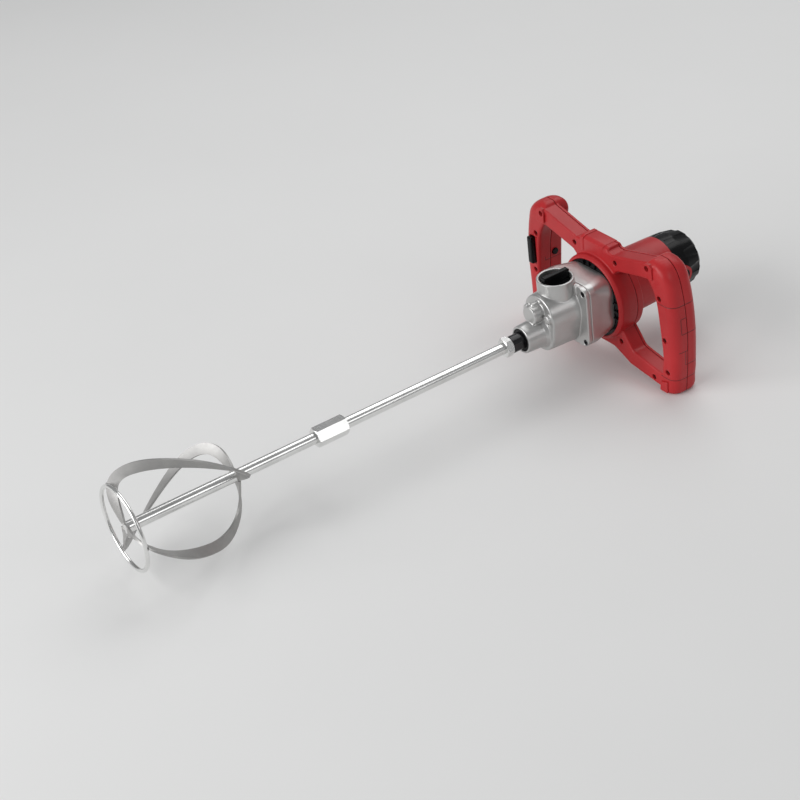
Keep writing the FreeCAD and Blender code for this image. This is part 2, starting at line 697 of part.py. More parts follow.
def output_spindle():
    """Stepped spindle with a socket for the stirrer and two spanner flats."""
    nose_rear = SPINDLE_FRONT_Y + SPINDLE_NOSE_LENGTH
    tail_front = LOW_PINION_REAR_Y + SEAT_GAP
    shaft = turned([(0, SPINDLE_FRONT_Y), (SPINDLE_NOSE_R - SPINDLE_NOSE_CHAMFER, SPINDLE_FRONT_Y),
                    (SPINDLE_NOSE_R, SPINDLE_FRONT_Y + SPINDLE_NOSE_CHAMFER), (SPINDLE_NOSE_R, nose_rear),
                    (SPINDLE_SEAT_R, nose_rear), (SPINDLE_SEAT_R, tail_front),
                    (SPINDLE_TAIL_R, tail_front), (SPINDLE_TAIL_R, SPINDLE_REAR_Y), (0, SPINDLE_REAR_Y)])
    shaft = shaft.cut(rod_y(ROD_R + SEAT_GAP, SPINDLE_FRONT_Y, SPINDLE_FRONT_Y + SOCKET_DEPTH))
    flat_depth = SPINDLE_NOSE_R - SPINDLE_FLAT
    for low, high in ((flat_depth, SPINDLE_NOSE_R + JOIN), (-SPINDLE_NOSE_R - JOIN, -flat_depth)):
        flat = block(low, high, SPINDLE_FRONT_Y, SPINDLE_FRONT_Y + SPINDLE_FLAT_LENGTH,
                     -SPINDLE_NOSE_R, SPINDLE_NOSE_R)
        shaft = shaft.cut(flat)
    return shaft


def spindle_gear(teeth, front_y):
    """Gear seated on the spindle, with a lightening web."""
    y1 = front_y + GEAR_FACE
    wheel = gear(teeth, DRIVE_MODULE, DRIVE_ADDENDUM, front_y, y1, 0, 0, SPINDLE_SEAT_R + SEAT_GAP)
    rim_r = DRIVE_MODULE * teeth / 2 - GEAR_RIM
    hub_r = SPINDLE_SEAT_R + GEAR_HUB_WALL
    front_dish = ring_y(rim_r, hub_r, front_y, front_y + GEAR_DISH)
    rear_dish = ring_y(rim_r, hub_r, y1 - GEAR_DISH, y1)
    return wheel.cut(front_dish).cut(rear_dish)


def bearing(size, y0, z=0.0):
    """Ball bearing drawn as its two rings joined, with recessed shields."""
    bore_r, outer_r, width = size
    body = ring_y(outer_r, bore_r + RUN_GAP, y0, y0 + width, 0, z)
    track_out = outer_r - (outer_r - bore_r) * OUTER_RACE_SHARE
    track_in = bore_r + (outer_r - bore_r) * INNER_RACE_SHARE
    for y in (y0, y0 + width - SHIELD_DEPTH):
        body = body.cut(ring_y(track_out, track_in, y, y + SHIELD_DEPTH, 0, z))
    return body


def spindle_circlip():
    """Split retaining ring in front of the spindle's front bearing."""
    y0 = SPINDLE_BEARING_FRONT_Y - CIRCLIP_THICKNESS
    outer = SPINDLE_FRONT_BEARING[1] - SEAT_GAP
    clip = ring_y(outer, outer - CIRCLIP_WIDTH, y0, SPINDLE_BEARING_FRONT_Y)
    half = CIRCLIP_SPLIT / 2
    return clip.cut(block(-half, half, y0, SPINDLE_BEARING_FRONT_Y, -outer, 0))


def spindle_seal():
    """Rubber lip seal at the mouth of the neck."""
    y0 = NECK_END_Y + SEAL_RECESS
    return ring_y(SPINDLE_FRONT_BEARING[1] - SEAT_GAP, SPINDLE_NOSE_R + RUN_GAP, y0, y0 + SEAL_WIDTH)


def layshaft():
    """Intermediate shaft: round journals and a hexagonal length for the sliding pinions."""
    front = LAYSHAFT_BEARING_FRONT_Y - LAYSHAFT_NOSE
    rear = LAYSHAFT_REAR_BEARING_Y + LAYSHAFT_BEARING[2] + LAYSHAFT_TAIL
    hex_front = LAYSHAFT_BEARING_FRONT_Y + LAYSHAFT_BEARING[2] + LAYSHAFT_END_PLAY
    hex_rear = LOW_PINION_REAR_Y + LAYSHAFT_HEX_END
    collar_rear = LAYSHAFT_REAR_BEARING_Y - LAYSHAFT_END_PLAY
    gear_front = MOTOR_GEAR_REAR_Y - MOTOR_GEAR_FACE
    return fused([
        rod_y(LAYSHAFT_R, front, rear, 0, LAYSHAFT_Z),
        hexagon(LAYSHAFT_HEX, hex_front, hex_rear, LAYSHAFT_Z),
        rod_y(LAYSHAFT_COLLAR_R, hex_rear, gear_front - SEAT_GAP, 0, LAYSHAFT_Z),
        rod_y(LAYSHAFT_REAR_COLLAR_R, MOTOR_GEAR_REAR_Y + SEAT_GAP, collar_rear, 0, LAYSHAFT_Z),
    ])


def layshaft_gear():
    """Large gear on the layshaft, driven by the armature's pinion."""
    front = MOTOR_GEAR_REAR_Y - MOTOR_GEAR_FACE
    toward_motor = math.pi + math.pi / MOTOR_GEAR_TEETH
    return gear(MOTOR_GEAR_TEETH, MOTOR_MODULE, MOTOR_GEAR_ADDENDUM, front, MOTOR_GEAR_REAR_Y,
                toward_motor, LAYSHAFT_Z, LAYSHAFT_R + SEAT_GAP)


def shift_pinions():
    """Sliding block with the low and high pinions and the selector's groove between them."""
    low = gear(LOW_PINION_TEETH, DRIVE_MODULE, DRIVE_ADDENDUM, LOW_PINION_FRONT_Y, LOW_PINION_REAR_Y,
               math.pi + math.pi / LOW_PINION_TEETH, LAYSHAFT_Z)
    high = gear(HIGH_PINION_TEETH, DRIVE_MODULE, DRIVE_ADDENDUM, HIGH_PINION_FRONT_Y, HIGH_PINION_REAR_Y,
                math.pi + math.pi / HIGH_PINION_TEETH, LAYSHAFT_Z)
    groove_front = GROOVE_Y - GROOVE_WIDTH / 2
    groove_rear = GROOVE_Y + GROOVE_WIDTH / 2
    sleeve = rod_y(GROOVE_BOTTOM_R, HIGH_PINION_REAR_Y, LOW_PINION_FRONT_Y, 0, LAYSHAFT_Z)
    rear_collar = rod_y(SHIFT_COLLAR_R, groove_rear, LOW_PINION_FRONT_Y, 0, LAYSHAFT_Z)
    front_collar = rod_y(SHIFT_COLLAR_R, HIGH_PINION_REAR_Y, groove_front, 0, LAYSHAFT_Z)
    solid = fused([low, high, sleeve, rear_collar, front_collar])
    return solid.cut(hexagon(LAYSHAFT_HEX + 2 * RUN_GAP, HIGH_PINION_FRONT_Y, LOW_PINION_REAR_Y, LAYSHAFT_Z))


def selector_knob():
    """Round knob with a raised bar, its hub and the eccentric pin that moves the pinions."""
    pin_low = LAYSHAFT_Z + GROOVE_BOTTOM_R + GROOVE_ROOM
    hub_low = LAYSHAFT_Z + SHIFT_COLLAR_R + 2 * GEAR_ROOM
    disc_top = SELECTOR_DISC_BOTTOM_Z + SELECTOR_DISC_THICKNESS
    pin = cylinder(SELECTOR_PIN_R, V(0, GROOVE_Y, pin_low), hub_low - pin_low + JOIN, ALONG_Z)
    hub_length = SELECTOR_DISC_BOTTOM_Z - hub_low + JOIN
    hub = cylinder(SELECTOR_HUB_R, V(0, SELECTOR_Y, hub_low), hub_length, ALONG_Z)
    disc_start = V(0, SELECTOR_Y, SELECTOR_DISC_BOTTOM_Z)
    disc = cylinder(SELECTOR_DISC_R, disc_start, SELECTOR_DISC_THICKNESS, ALONG_Z)
    bar_half = math.sqrt(SELECTOR_DISC_R ** 2 - (SELECTOR_BAR_WIDTH / 2) ** 2) - SELECTOR_BAR_INSET
    bar = block(-SELECTOR_BAR_WIDTH / 2, SELECTOR_BAR_WIDTH / 2, SELECTOR_Y - bar_half, SELECTOR_Y + bar_half,
                disc_top - JOIN, SELECTOR_COLLAR_TOP_Z + SELECTOR_BAR_RISE)
    top_edges = [e for e in bar.Edges if e.BoundBox.ZMin > disc_top]
    bar = bar.makeFillet(SELECTOR_BAR_EDGE_R, top_edges)
    return fused([pin, hub, disc, bar])


def screw_places():
    """Centres of the four screws that join the gear housings."""
    return [(side * FLANGE_SCREW_X, z) for side in (-1, 1) for z in (FLANGE_SCREW_LOW_Z, FLANGE_SCREW_TOP_Z)]


def flange_screw_seat():
    """Rear of the sunk heads in the front flange."""
    return FLANGE_REAR_Y - FLANGE_THICKNESS + SCREW_HEAD_HEIGHT


def flange_wire(y, grow=0.0):
    """Rounded square outline of the joint between the gear housings."""
    half = FLANGE_HALF_WIDTH + grow
    low = FLANGE_LOW_Z - grow
    top = FLANGE_TOP_Z + grow
    radius = FLANGE_CORNER_R + grow
    return rounded_wire([(-half, low, radius), (-half, top, radius),
                         (half, top, radius), (half, low, radius)], y)


def rear_wire(y):
    """Rounded square outline of the rear gear housing where it enters the frame."""
    half = REAR_HALF_WIDTH
    return rounded_wire([(-half, REAR_LOW_Z, REAR_CORNER_R), (-half, REAR_TOP_Z, REAR_CORNER_R),
                         (half, REAR_TOP_Z, REAR_CORNER_R), (half, REAR_LOW_Z, REAR_CORNER_R)], y)


def gear_housing_front():
    """Cast front housing with neck, bosses, selector collar and flange."""
    flange_front = FLANGE_REAR_Y - FLANGE_THICKNESS
    plate_outline = egg_wire(PLATE_TOP_R, PLATE_TOP_Z, PLATE_LOW_R, 0, PLATE_Y)
    rear_outline = egg_wire(BODY_REAR_TOP_R, PLATE_TOP_Z, BODY_REAR_LOW_R, 0, flange_front)
    body = Part.makeLoft([plate_outline, rear_outline], True, True)
    body = body.makeFillet(PLATE_EDGE_R, plane_edges(body, PLATE_Y))
    flange = wire_prism(flange_wire(flange_front), FLANGE_THICKNESS)
    boss_rear = PLATE_Y + BOSS_ROOT
    neck = turned([(0, NECK_END_Y), (NECK_END_R - NECK_CHAMFER, NECK_END_Y),
                   (NECK_END_R, NECK_END_Y + NECK_CHAMFER), (NECK_WAIST_R, NECK_WAIST_Y),
                   (NECK_ROOT_R, PLATE_Y - NECK_ROOT_LAND), (NECK_ROOT_R, boss_rear), (0, boss_rear)])
    boss = rod_y(LAYSHAFT_BOSS_R, PLATE_Y - LAYSHAFT_BOSS_LENGTH, boss_rear, 0, LAYSHAFT_Z)
    boss = boss.makeFillet(BOSS_EDGE_R, plane_edges(boss, PLATE_Y - LAYSHAFT_BOSS_LENGTH))
    web_half = BOSS_WEB_WIDTH / 2
    web_front = PLATE_Y - LAYSHAFT_BOSS_LENGTH + BOSS_WEB_SET_BACK
    web = block(-web_half, web_half, web_front, boss_rear, 0, LAYSHAFT_Z)
    oil_z = LAYSHAFT_Z + OIL_BOSS_RISE
    oil_boss = rod_y(OIL_BOSS_R, PLATE_Y - OIL_BOSS_LENGTH, boss_rear, 0, oil_z)
    oil_boss = oil_boss.makeFillet(BOSS_EDGE_R, plane_edges(oil_boss, PLATE_Y - OIL_BOSS_LENGTH))
    side = rod_y(SIDE_BOSS_R, PLATE_Y - SIDE_BOSS_LENGTH, boss_rear, SIDE_BOSS_X, SIDE_BOSS_Z)
    side = side.makeFillet(BOSS_EDGE_R, plane_edges(side, PLATE_Y - SIDE_BOSS_LENGTH))
    collar_start = V(0, SELECTOR_Y, LAYSHAFT_Z)
    collar = cylinder(SELECTOR_COLLAR_R, collar_start, SELECTOR_COLLAR_TOP_Z - LAYSHAFT_Z, ALONG_Z)
    shape = fused([body, flange, neck, boss, web, oil_boss, side, mirrored(side), collar])
    return cut_front_housing(shape)


def cut_front_housing(shape):
    """Gear room, bearing seats, selector bore and screw holes of the front housing."""
    low_tip = DRIVE_MODULE * (LOW_GEAR_TEETH / 2 + DRIVE_ADDENDUM)
    room_front = HIGH_GEAR_FRONT_Y - GEAR_ROOM_FRONT
    gear_room = egg_wire(SHIFT_COLLAR_R + COLLAR_ROOM, LAYSHAFT_Z, low_tip + GEAR_ROOM, 0, room_front)
    room = wire_prism(gear_room, FLANGE_REAR_Y - room_front)
    bearing_rear = SPINDLE_BEARING_FRONT_Y + SPINDLE_FRONT_BEARING[2]
    layshaft_rear = LAYSHAFT_BEARING_FRONT_Y + LAYSHAFT_BEARING[2]
    nose_room = LAYSHAFT_BEARING_FRONT_Y - LAYSHAFT_NOSE - SHAFT_ROOM
    collar_over = SELECTOR_Y + SELECTOR_COLLAR_R - FLANGE_REAR_Y
    cuts = [
        room,
        wire_prism(flange_wire(FLANGE_REAR_Y, CLAMP_GAP), collar_over + JOIN),
        rod_y(SPINDLE_FRONT_BEARING[1] + SEAT_GAP, NECK_END_Y, bearing_rear),
        rod_y(SPINDLE_FRONT_BEARING[1] - BEARING_SHOULDER, bearing_rear, HIGH_GEAR_FRONT_Y),
        rod_y(LAYSHAFT_BEARING[1] + SEAT_GAP, LAYSHAFT_BEARING_FRONT_Y, HIGH_GEAR_FRONT_Y, 0, LAYSHAFT_Z),
        rod_y(LAYSHAFT_R + SHAFT_ROOM, nose_room, layshaft_rear, 0, LAYSHAFT_Z),
        cylinder(SELECTOR_HUB_R + RUN_GAP, V(0, SELECTOR_Y, LAYSHAFT_Z),
                 SELECTOR_DISC_BOTTOM_Z - LAYSHAFT_Z, ALONG_Z),
        cylinder(SELECTOR_DISC_R + SLIDE_GAP, V(0, SELECTOR_Y, SELECTOR_DISC_BOTTOM_Z - SLIDE_GAP),
                 SELECTOR_COLLAR_TOP_Z, ALONG_Z),
    ]
    for x, z in screw_places():
        cuts.append(rod_y(SCREW_R + SHANK_ROOM, flange_screw_seat(), FLANGE_REAR_Y, x, z))
        cuts.append(rod_y(SCREW_HEAD_R + HEAD_ROOM, PLATE_Y, flange_screw_seat(), x, z))
    for cut in cuts:
        shape = shape.cut(cut)
    return shape


def plate_wire(y, grow=0.0):
    """Outline of the bearing plate inside the rear gear housing."""
    top_z = LAYSHAFT_Z - BEARING_PLATE_DROP
    return egg_wire(BEARING_PLATE_TOP_R + grow, top_z, BEARING_PLATE_LOW_R + grow, 0, y)


def bearing_plate():
    """Inner plate that carries the spindle's rear bearing."""
    rear = FLANGE_REAR_Y + BEARING_PLATE_THICKNESS
    plate = wire_prism(plate_wire(FLANGE_REAR_Y), BEARING_PLATE_THICKNESS)
    seat_y = rear - SPINDLE_REAR_BEARING[2]
    plate = plate.cut(rod_y(SPINDLE_REAR_BEARING[1] + SEAT_GAP, seat_y, rear))
    plate = plate.cut(rod_y(SPINDLE_TAIL_R + SHAFT_ROOM, FLANGE_REAR_Y, rear))
    return plate.cut(rod_y(LAYSHAFT_COLLAR_R + SHAFT_ROOM, FLANGE_REAR_Y, rear, 0, LAYSHAFT_Z))


def gear_housing_rear():
    """Cast rear housing with the layshaft's and the armature's bearing seats."""
    flange = wire_prism(flange_wire(FLANGE_REAR_Y), REAR_FLANGE_THICKNESS)
    blend = flange_wire(FLANGE_REAR_Y + REAR_FLANGE_THICKNESS)
    rest = Part.makeLoft([blend, rear_wire(HOUSING_REAR_Y)], True, True)
    shape = fused([flange, rest])
    plate_rear = FLANGE_REAR_Y + BEARING_PLATE_THICKNESS
    lay_rear = LAYSHAFT_REAR_BEARING_Y + LAYSHAFT_BEARING[2]
    arm_rear = ARMATURE_BEARING_FRONT_Y + ARMATURE_BEARING[2]
    cuts = [
        wire_prism(plate_wire(FLANGE_REAR_Y, SEAT_GAP), BEARING_PLATE_THICKNESS),
        wire_prism(plate_wire(plate_rear, -BEARING_PLATE_LEDGE), LAYSHAFT_REAR_BEARING_Y - plate_rear),
        rod_y(LAYSHAFT_BEARING[1] + SEAT_GAP, LAYSHAFT_REAR_BEARING_Y, lay_rear, 0, LAYSHAFT_Z),
        rod_y(LAYSHAFT_R + SHAFT_ROOM, lay_rear, lay_rear + LAYSHAFT_TAIL + SLIDE_GAP, 0, LAYSHAFT_Z),
        rod_y(ARMATURE_SHAFT_R + SHAFT_ROOM, LAYSHAFT_REAR_BEARING_Y, ARMATURE_BEARING_FRONT_Y, 0, MOTOR_Z),
        rod_y(ARMATURE_BEARING[1] + SEAT_GAP, ARMATURE_BEARING_FRONT_Y, arm_rear, 0, MOTOR_Z),
        rod_y(BAFFLE_BORE_R, arm_rear, HOUSING_REAR_Y, 0, MOTOR_Z),
        cylinder(SELECTOR_DISC_R + SLIDE_GAP, V(0, SELECTOR_Y, SELECTOR_DISC_BOTTOM_Z - SLIDE_GAP),
                 SELECTOR_COLLAR_TOP_Z - SELECTOR_DISC_BOTTOM_Z, ALONG_Z),
    ]
    for x, z in screw_places():
        cuts.append(rod_y(SCREW_R + SEAT_GAP, FLANGE_REAR_Y, FLANGE_REAR_Y + FLANGE_SCREW_LENGTH, x, z))
    for x, z in motor_screw_places():
        deepest = HOUSING_REAR_Y - MOTOR_SCREW_DEPTH - TIP_ROOM
        cuts.append(rod_y(SCREW_R + SEAT_GAP, deepest, HOUSING_REAR_Y, x, z))
    for cut in cuts:
        shape = shape.cut(cut)
    return shape


def cap_head_screw(x, z, head_y, length, direction):
    """Socket screw: head at one place, shank along Y either way."""
    head = rod_y(SCREW_HEAD_R, head_y - SCREW_HEAD_HEIGHT, head_y, x, z)
    shank = rod_y(SCREW_R, head_y, head_y + length, x, z)
    socket = hexagon(SCREW_SOCKET_HEX, head_y - SCREW_HEAD_HEIGHT, head_y - SCREW_HEAD_HEIGHT / 2, z)
    socket.translate(V(x, 0, 0))
    screw = head.fuse(shank).cut(socket)
    if direction < 0:
        screw.rotate(V(x, head_y, z), ALONG_Z, 180)
    return screw


def housing_screws():
    """The four screws through the flange."""
    seat = flange_screw_seat()
    length = FLANGE_REAR_Y - seat + FLANGE_SCREW_LENGTH - TIP_ROOM
    return Part.makeCompound([cap_head_screw(x, z, seat, length, 1) for x, z in screw_places()])


# Motor

def motor_screw_places():
    """Centres of the four screws that hold the motor housing to the gearbox."""
    up = MOTOR_SCREW_PCR * math.sin(math.radians(MOTOR_SCREW_ANGLE_DEG))
    out = MOTOR_SCREW_PCR * math.cos(math.radians(MOTOR_SCREW_ANGLE_DEG))
    return [(side * out, MOTOR_Z + rise) for side in (-1, 1) for rise in (-up, up)]


def air_baffle():
    """Black slotted ring plate between the gearbox and the motor housing."""
    y0 = HOUSING_REAR_Y
    y1 = y0 + BAFFLE_THICKNESS
    plate = ring_y(BAFFLE_R, BAFFLE_BORE_R, y0, y1, 0, MOTOR_Z)
    half = BAFFLE_SLOT_WIDTH / 2
    slot = block(-half, half, y0, y1, MOTOR_Z + BAFFLE_SLOT_INNER_R, MOTOR_Z + BAFFLE_SLOT_OUTER_R)
    for i in range(BAFFLE_SLOTS):
        turn = slot.copy()
        turn.rotate(V(0, 0, MOTOR_Z), ALONG_Y, 360 * (i + 0.5) / BAFFLE_SLOTS)
        plate = plate.cut(turn)
    for x, z in motor_screw_places():
        plate = plate.cut(rod_y(SCREW_R + SHANK_ROOM, y0, y1, x, z))
    return plate


def motor_housing():
    """Moulded motor tube with its front bell, brush bosses and rear bearing seat."""
    bell_front = HOUSING_REAR_Y + BAFFLE_THICKNESS
    bell_rear = RECESS_REAR_Y - CLAMP_GAP
    rear_end = ARMATURE_REAR_BEARING_Y + ARMATURE_BEARING[2]
    under_cap_r = CAP_FRONT_R - CAP_WALL - CLAMP_GAP
    web_rear = WEB_FRONT_Y + WEB_THICKNESS
    seat_r = ARMATURE_BEARING[1] + REAR_SEAT_WALL
    seat_rear = rear_end + REAR_SEAT_BACK
    outside = turned([(0, bell_front), (BELL_R, bell_front), (BELL_R, bell_rear), (MOTOR_TUBE_R, bell_rear),
                      (MOTOR_TUBE_R, DRUM_REAR_Y), (CAP_FRONT_R, CAP_FRONT_Y), (under_cap_r, CAP_FRONT_Y),
                      (under_cap_r, web_rear), (seat_r, web_rear), (seat_r, seat_rear), (0, seat_rear)],
                     MOTOR_Z)
    tube_inner = MOTOR_TUBE_R - MOTOR_TUBE_WALL
    rear_inner = under_cap_r - MOTOR_TUBE_WALL
    stator_rear = stator_front_y() + STATOR_LENGTH
    stop_r = tube_inner - STATOR_STOP
    bell_wall = bell_rear - MOTOR_TUBE_WALL
    shaft_hole = ARMATURE_SHAFT_R + SHAFT_ROOM
    inside = turned([(0, bell_front), (BELL_INNER_R, bell_front), (BELL_INNER_R, bell_wall),
                     (stop_r, bell_wall), (stop_r, stator_front_y()), (tube_inner, stator_front_y()),
                     (tube_inner, stator_rear), (rear_inner, stator_rear + TUBE_TAPER),
                     (rear_inner, WEB_FRONT_Y), (shaft_hole, WEB_FRONT_Y),
                     (shaft_hole, rear_end - JOIN), (0, rear_end - JOIN)], MOTOR_Z)
    boss_start = V(rear_inner - BRUSH_BOSS_ROOT, BRUSH_Y, MOTOR_Z)
    boss = cylinder(BRUSH_BOSS_R, boss_start, BRUSH_BOSS_X - boss_start.x, ALONG_X)
    shape = outside.cut(inside).fuse(both_sides(boss))
    shape = shape.cut(rod_y(ARMATURE_BEARING[1] + SEAT_GAP, ARMATURE_REAR_BEARING_Y, rear_end, 0, MOTOR_Z))
    shape = shape.cut(both_sides(brush_tunnel()))
    for x, z in motor_screw_places():
        shape = shape.cut(rod_y(SCREW_R + SHANK_ROOM, bell_front, bell_rear, x, z))
        shape = shape.cut(rod_y(SCREW_HEAD_R + HEAD_ROOM, bell_front + BELL_FLOOR, bell_rear, x, z))
    for x in (-CAP_SCREW_X, CAP_SCREW_X):
        shape = shape.cut(rod_y(SCREW_R + SEAT_GAP, WEB_FRONT_Y, web_rear, x, MOTOR_Z))
    return shape.removeSplitter()


def stator_front_y():
    """Front face of the stator core, centred on the armature's core."""
    return CORE_FRONT_Y + (CORE_LENGTH - STATOR_LENGTH) / 2


def brush_box(length, grow, start_x):
    """Straight bar with the brush's section, pointing to +X."""
    half_y = BRUSH_WIDTH / 2 + grow
    half_z = BRUSH_HEIGHT / 2 + grow
    return block(start_x, start_x + length, BRUSH_Y - half_y, BRUSH_Y + half_y,
                 MOTOR_Z - half_z, MOTOR_Z + half_z)


def brush_tunnel():
    """Space for a brush holder and its cap in the right brush boss."""
    holder = brush_box(BRUSH_BOSS_X, BRUSH_TUBE_WALL + SEAT_GAP, COMMUTATOR_R + BRUSH_TUBE_GAP)
    cap_room = cylinder(BRUSH_CAP_R + SEAT_GAP, V(brush_tube_end(), BRUSH_Y, MOTOR_Z), BRUSH_BOSS_X, ALONG_X)
    return holder.fuse(cap_room)


def brush_tube_end():
    """Outer end of a brush holder, under the brush cap."""
    return COMMUTATOR_R + BRUSH_TUBE_GAP + BRUSH_TUBE_LENGTH


def brush_holders():
    """Two rectangular brass tubes that guide the brushes."""
    tube = brush_box(BRUSH_TUBE_LENGTH, BRUSH_TUBE_WALL, COMMUTATOR_R + BRUSH_TUBE_GAP)
    tube = tube.cut(brush_box(BRUSH_TUBE_LENGTH, SEAT_GAP, COMMUTATOR_R + BRUSH_TUBE_GAP))
    return Part.makeCompound([tube, mirrored(tube)])


def carbon_brushes():
    """Two carbon blocks with faces hollowed to the commutator."""
    brush = brush_box(BRUSH_LENGTH, 0.0, COMMUTATOR_R - BRUSH_HOLLOW)
    track = rod_y(COMMUTATOR_R + BRUSH_GAP, BRUSH_Y - BRUSH_WIDTH, BRUSH_Y + BRUSH_WIDTH, 0, MOTOR_Z)
    brush = brush.cut(track)
    return Part.makeCompound([brush, mirrored(brush)])


def brush_springs():
    """Two springs between the brushes and the brush caps."""
    brush_end = COMMUTATOR_R - BRUSH_HOLLOW + BRUSH_LENGTH
    start = V(brush_end + SPRING_SEAT_GAP, BRUSH_Y, MOTOR_Z)
    length = brush_tube_end() - start.x - SPRING_SEAT_GAP
    spring = coil_spring(BRUSH_SPRING_R, BRUSH_SPRING_WIRE_R, BRUSH_SPRING_PITCH, length, start, ALONG_X)
    return Part.makeCompound([spring, mirrored(spring)])


def brush_caps():
    """Two slotted screw caps that close the brush bosses."""
    outer_x = BRUSH_BOSS_X + BRUSH_CAP_PROUD
    cap = cylinder(BRUSH_CAP_R, V(brush_tube_end(), BRUSH_Y, MOTOR_Z), outer_x - brush_tube_end(), ALONG_X)
    half = BRUSH_CAP_SLOT / 2
    slot = block(outer_x - BRUSH_CAP_SLOT_DEPTH, outer_x, BRUSH_Y - half, BRUSH_Y + half,
                 MOTOR_Z - BRUSH_CAP_R, MOTOR_Z + BRUSH_CAP_R)
    cap = cap.cut(slot)
    return Part.makeCompound([cap, mirrored(cap)])


def armature_shaft():
    """Motor shaft with the pinion cut on its front end."""
    rear = ARMATURE_REAR_BEARING_Y + ARMATURE_BEARING[2] - ARMATURE_END_GAP
    front = LAYSHAFT_REAR_BEARING_Y + PINION_OVERHANG
    shaft = rod_y(ARMATURE_SHAFT_R, front, rear, 0, MOTOR_Z)
    pinion = gear(MOTOR_PINION_TEETH, MOTOR_MODULE, MOTOR_PINION_ADDENDUM, MOTOR_PINION_FRONT_Y,
                  front + JOIN, 0, MOTOR_Z)
    return fused([shaft, pinion])


def armature_core():
    """Laminated core with winding slots."""
    rear = CORE_FRONT_Y + CORE_LENGTH
    core = ring_y(CORE_R, ARMATURE_SHAFT_R + SEAT_GAP, CORE_FRONT_Y, rear, 0, MOTOR_Z)
    half = CORE_SLOT_WIDTH / 2
    slot_low = MOTOR_Z + CORE_R - CORE_SLOT_DEPTH
    slot = block(-half, half, CORE_FRONT_Y, rear, slot_low, MOTOR_Z + CORE_R + JOIN)
    for i in range(CORE_SLOTS):
        turn = slot.copy()
        turn.rotate(V(0, 0, MOTOR_Z), ALONG_Y, 360 * i / CORE_SLOTS)
        core = core.cut(turn)
    return core


def armature_windings():
    """Coil heads at both ends of the armature core."""
    inner = ARMATURE_SHAFT_R + SEAT_GAP
    heads = []
    for y, way in ((CORE_FRONT_Y, -1), (CORE_FRONT_Y + CORE_LENGTH, 1)):
        far = y + way * WINDING_OVERHANG
        heads.append(turned([(inner, y), (WINDING_R, y), (WINDING_R, y + way * WINDING_STRAIGHT),
                             (WINDING_R - WINDING_TAPER, far), (inner, far)], MOTOR_Z))
    return Part.makeCompound(heads)


def commutator():
    """Copper commutator with its bars cut apart at the surface."""
    y0 = BRUSH_Y - COMMUTATOR_LENGTH / 2
    y1 = BRUSH_Y + COMMUTATOR_LENGTH / 2
    body = ring_y(COMMUTATOR_R, ARMATURE_SHAFT_R + SEAT_GAP, y0, y1, 0, MOTOR_Z)
    half = COMMUTATOR_SLIT / 2
    slit_low = MOTOR_Z + COMMUTATOR_R - COMMUTATOR_SLIT_DEPTH
    slit = block(-half, half, y0, y1, slit_low, MOTOR_Z + COMMUTATOR_R + JOIN)
    for i in range(COMMUTATOR_BARS):
        turn = slit.copy()
        turn.rotate(V(0, 0, MOTOR_Z), ALONG_Y, 360 * i / COMMUTATOR_BARS)
        body = body.cut(turn)
    return body


def cooling_fan():
    """Radial fan: hub, back disc and straight blades."""
    rear = FAN_FRONT_Y + FAN_WIDTH
    hub = rod_y(FAN_HUB_R, FAN_FRONT_Y, rear, 0, MOTOR_Z)
    disc = rod_y(FAN_R, rear - FAN_DISC_THICKNESS, rear, 0, MOTOR_Z)
    half = FAN_BLADE_THICKNESS / 2
    blade = block(-half, half, FAN_FRONT_Y + FAN_BLADE_INSET, rear - JOIN,
                  MOTOR_Z + FAN_HUB_R - JOIN, MOTOR_Z + FAN_R - FAN_BLADE_INSET)
    pieces = [hub, disc]
    for i in range(FAN_BLADES):
        turn = blade.copy()
        turn.rotate(V(0, 0, MOTOR_Z), ALONG_Y, 360 * i / FAN_BLADES)
        pieces.append(turn)
    fan = fused(pieces)
    return fan.cut(rod_y(ARMATURE_SHAFT_R + SEAT_GAP, FAN_FRONT_Y, rear, 0, MOTOR_Z))


def stator_core():
    """Laminated stator with two pole shoes round the armature."""
    y0 = stator_front_y()
    y1 = y0 + STATOR_LENGTH
    outer = MOTOR_TUBE_R - MOTOR_TUBE_WALL - SEAT_GAP
    yoke = ring_y(outer, outer - STATOR_YOKE, y0, y1, 0, MOTOR_Z)
    reach = outer - STATOR_YOKE + JOIN
    pole = block(-POLE_HALF_WIDTH, POLE_HALF_WIDTH, y0, y1, MOTOR_Z - reach, MOTOR_Z + reach)
    bore = rod_y(CORE_R + AIR_GAP, y0, y1, 0, MOTOR_Z)
    return fused([yoke, pole]).cut(bore)


def field_coils():
    """Two copper coils wound round the pole shoes."""
    outer = MOTOR_TUBE_R - MOTOR_TUBE_WALL - SEAT_GAP
    y0 = stator_front_y() - COIL_OVERHANG
    y1 = stator_front_y() + STATOR_LENGTH + COIL_OVERHANG
    ring = ring_y(outer - STATOR_YOKE - COIL_GAP, CORE_R + AIR_GAP + COIL_ROOM, y0, y1, 0, MOTOR_Z)
    top = MOTOR_Z + outer
    upper = ring.common(block(-COIL_HALF_WIDTH, COIL_HALF_WIDTH, y0, y1, MOTOR_Z + COIL_LOW, top))
    half = POLE_HALF_WIDTH + COIL_GAP
    head = COIL_OVERHANG - COIL_GAP
    pole = block(-half, half, y0 + head, y1 - head, MOTOR_Z, top)
    upper = upper.cut(pole)
    lower = upper.copy()
    lower.rotate(V(0, 0, MOTOR_Z), ALONG_Y, 180)
    return Part.makeCompound([upper, lower])


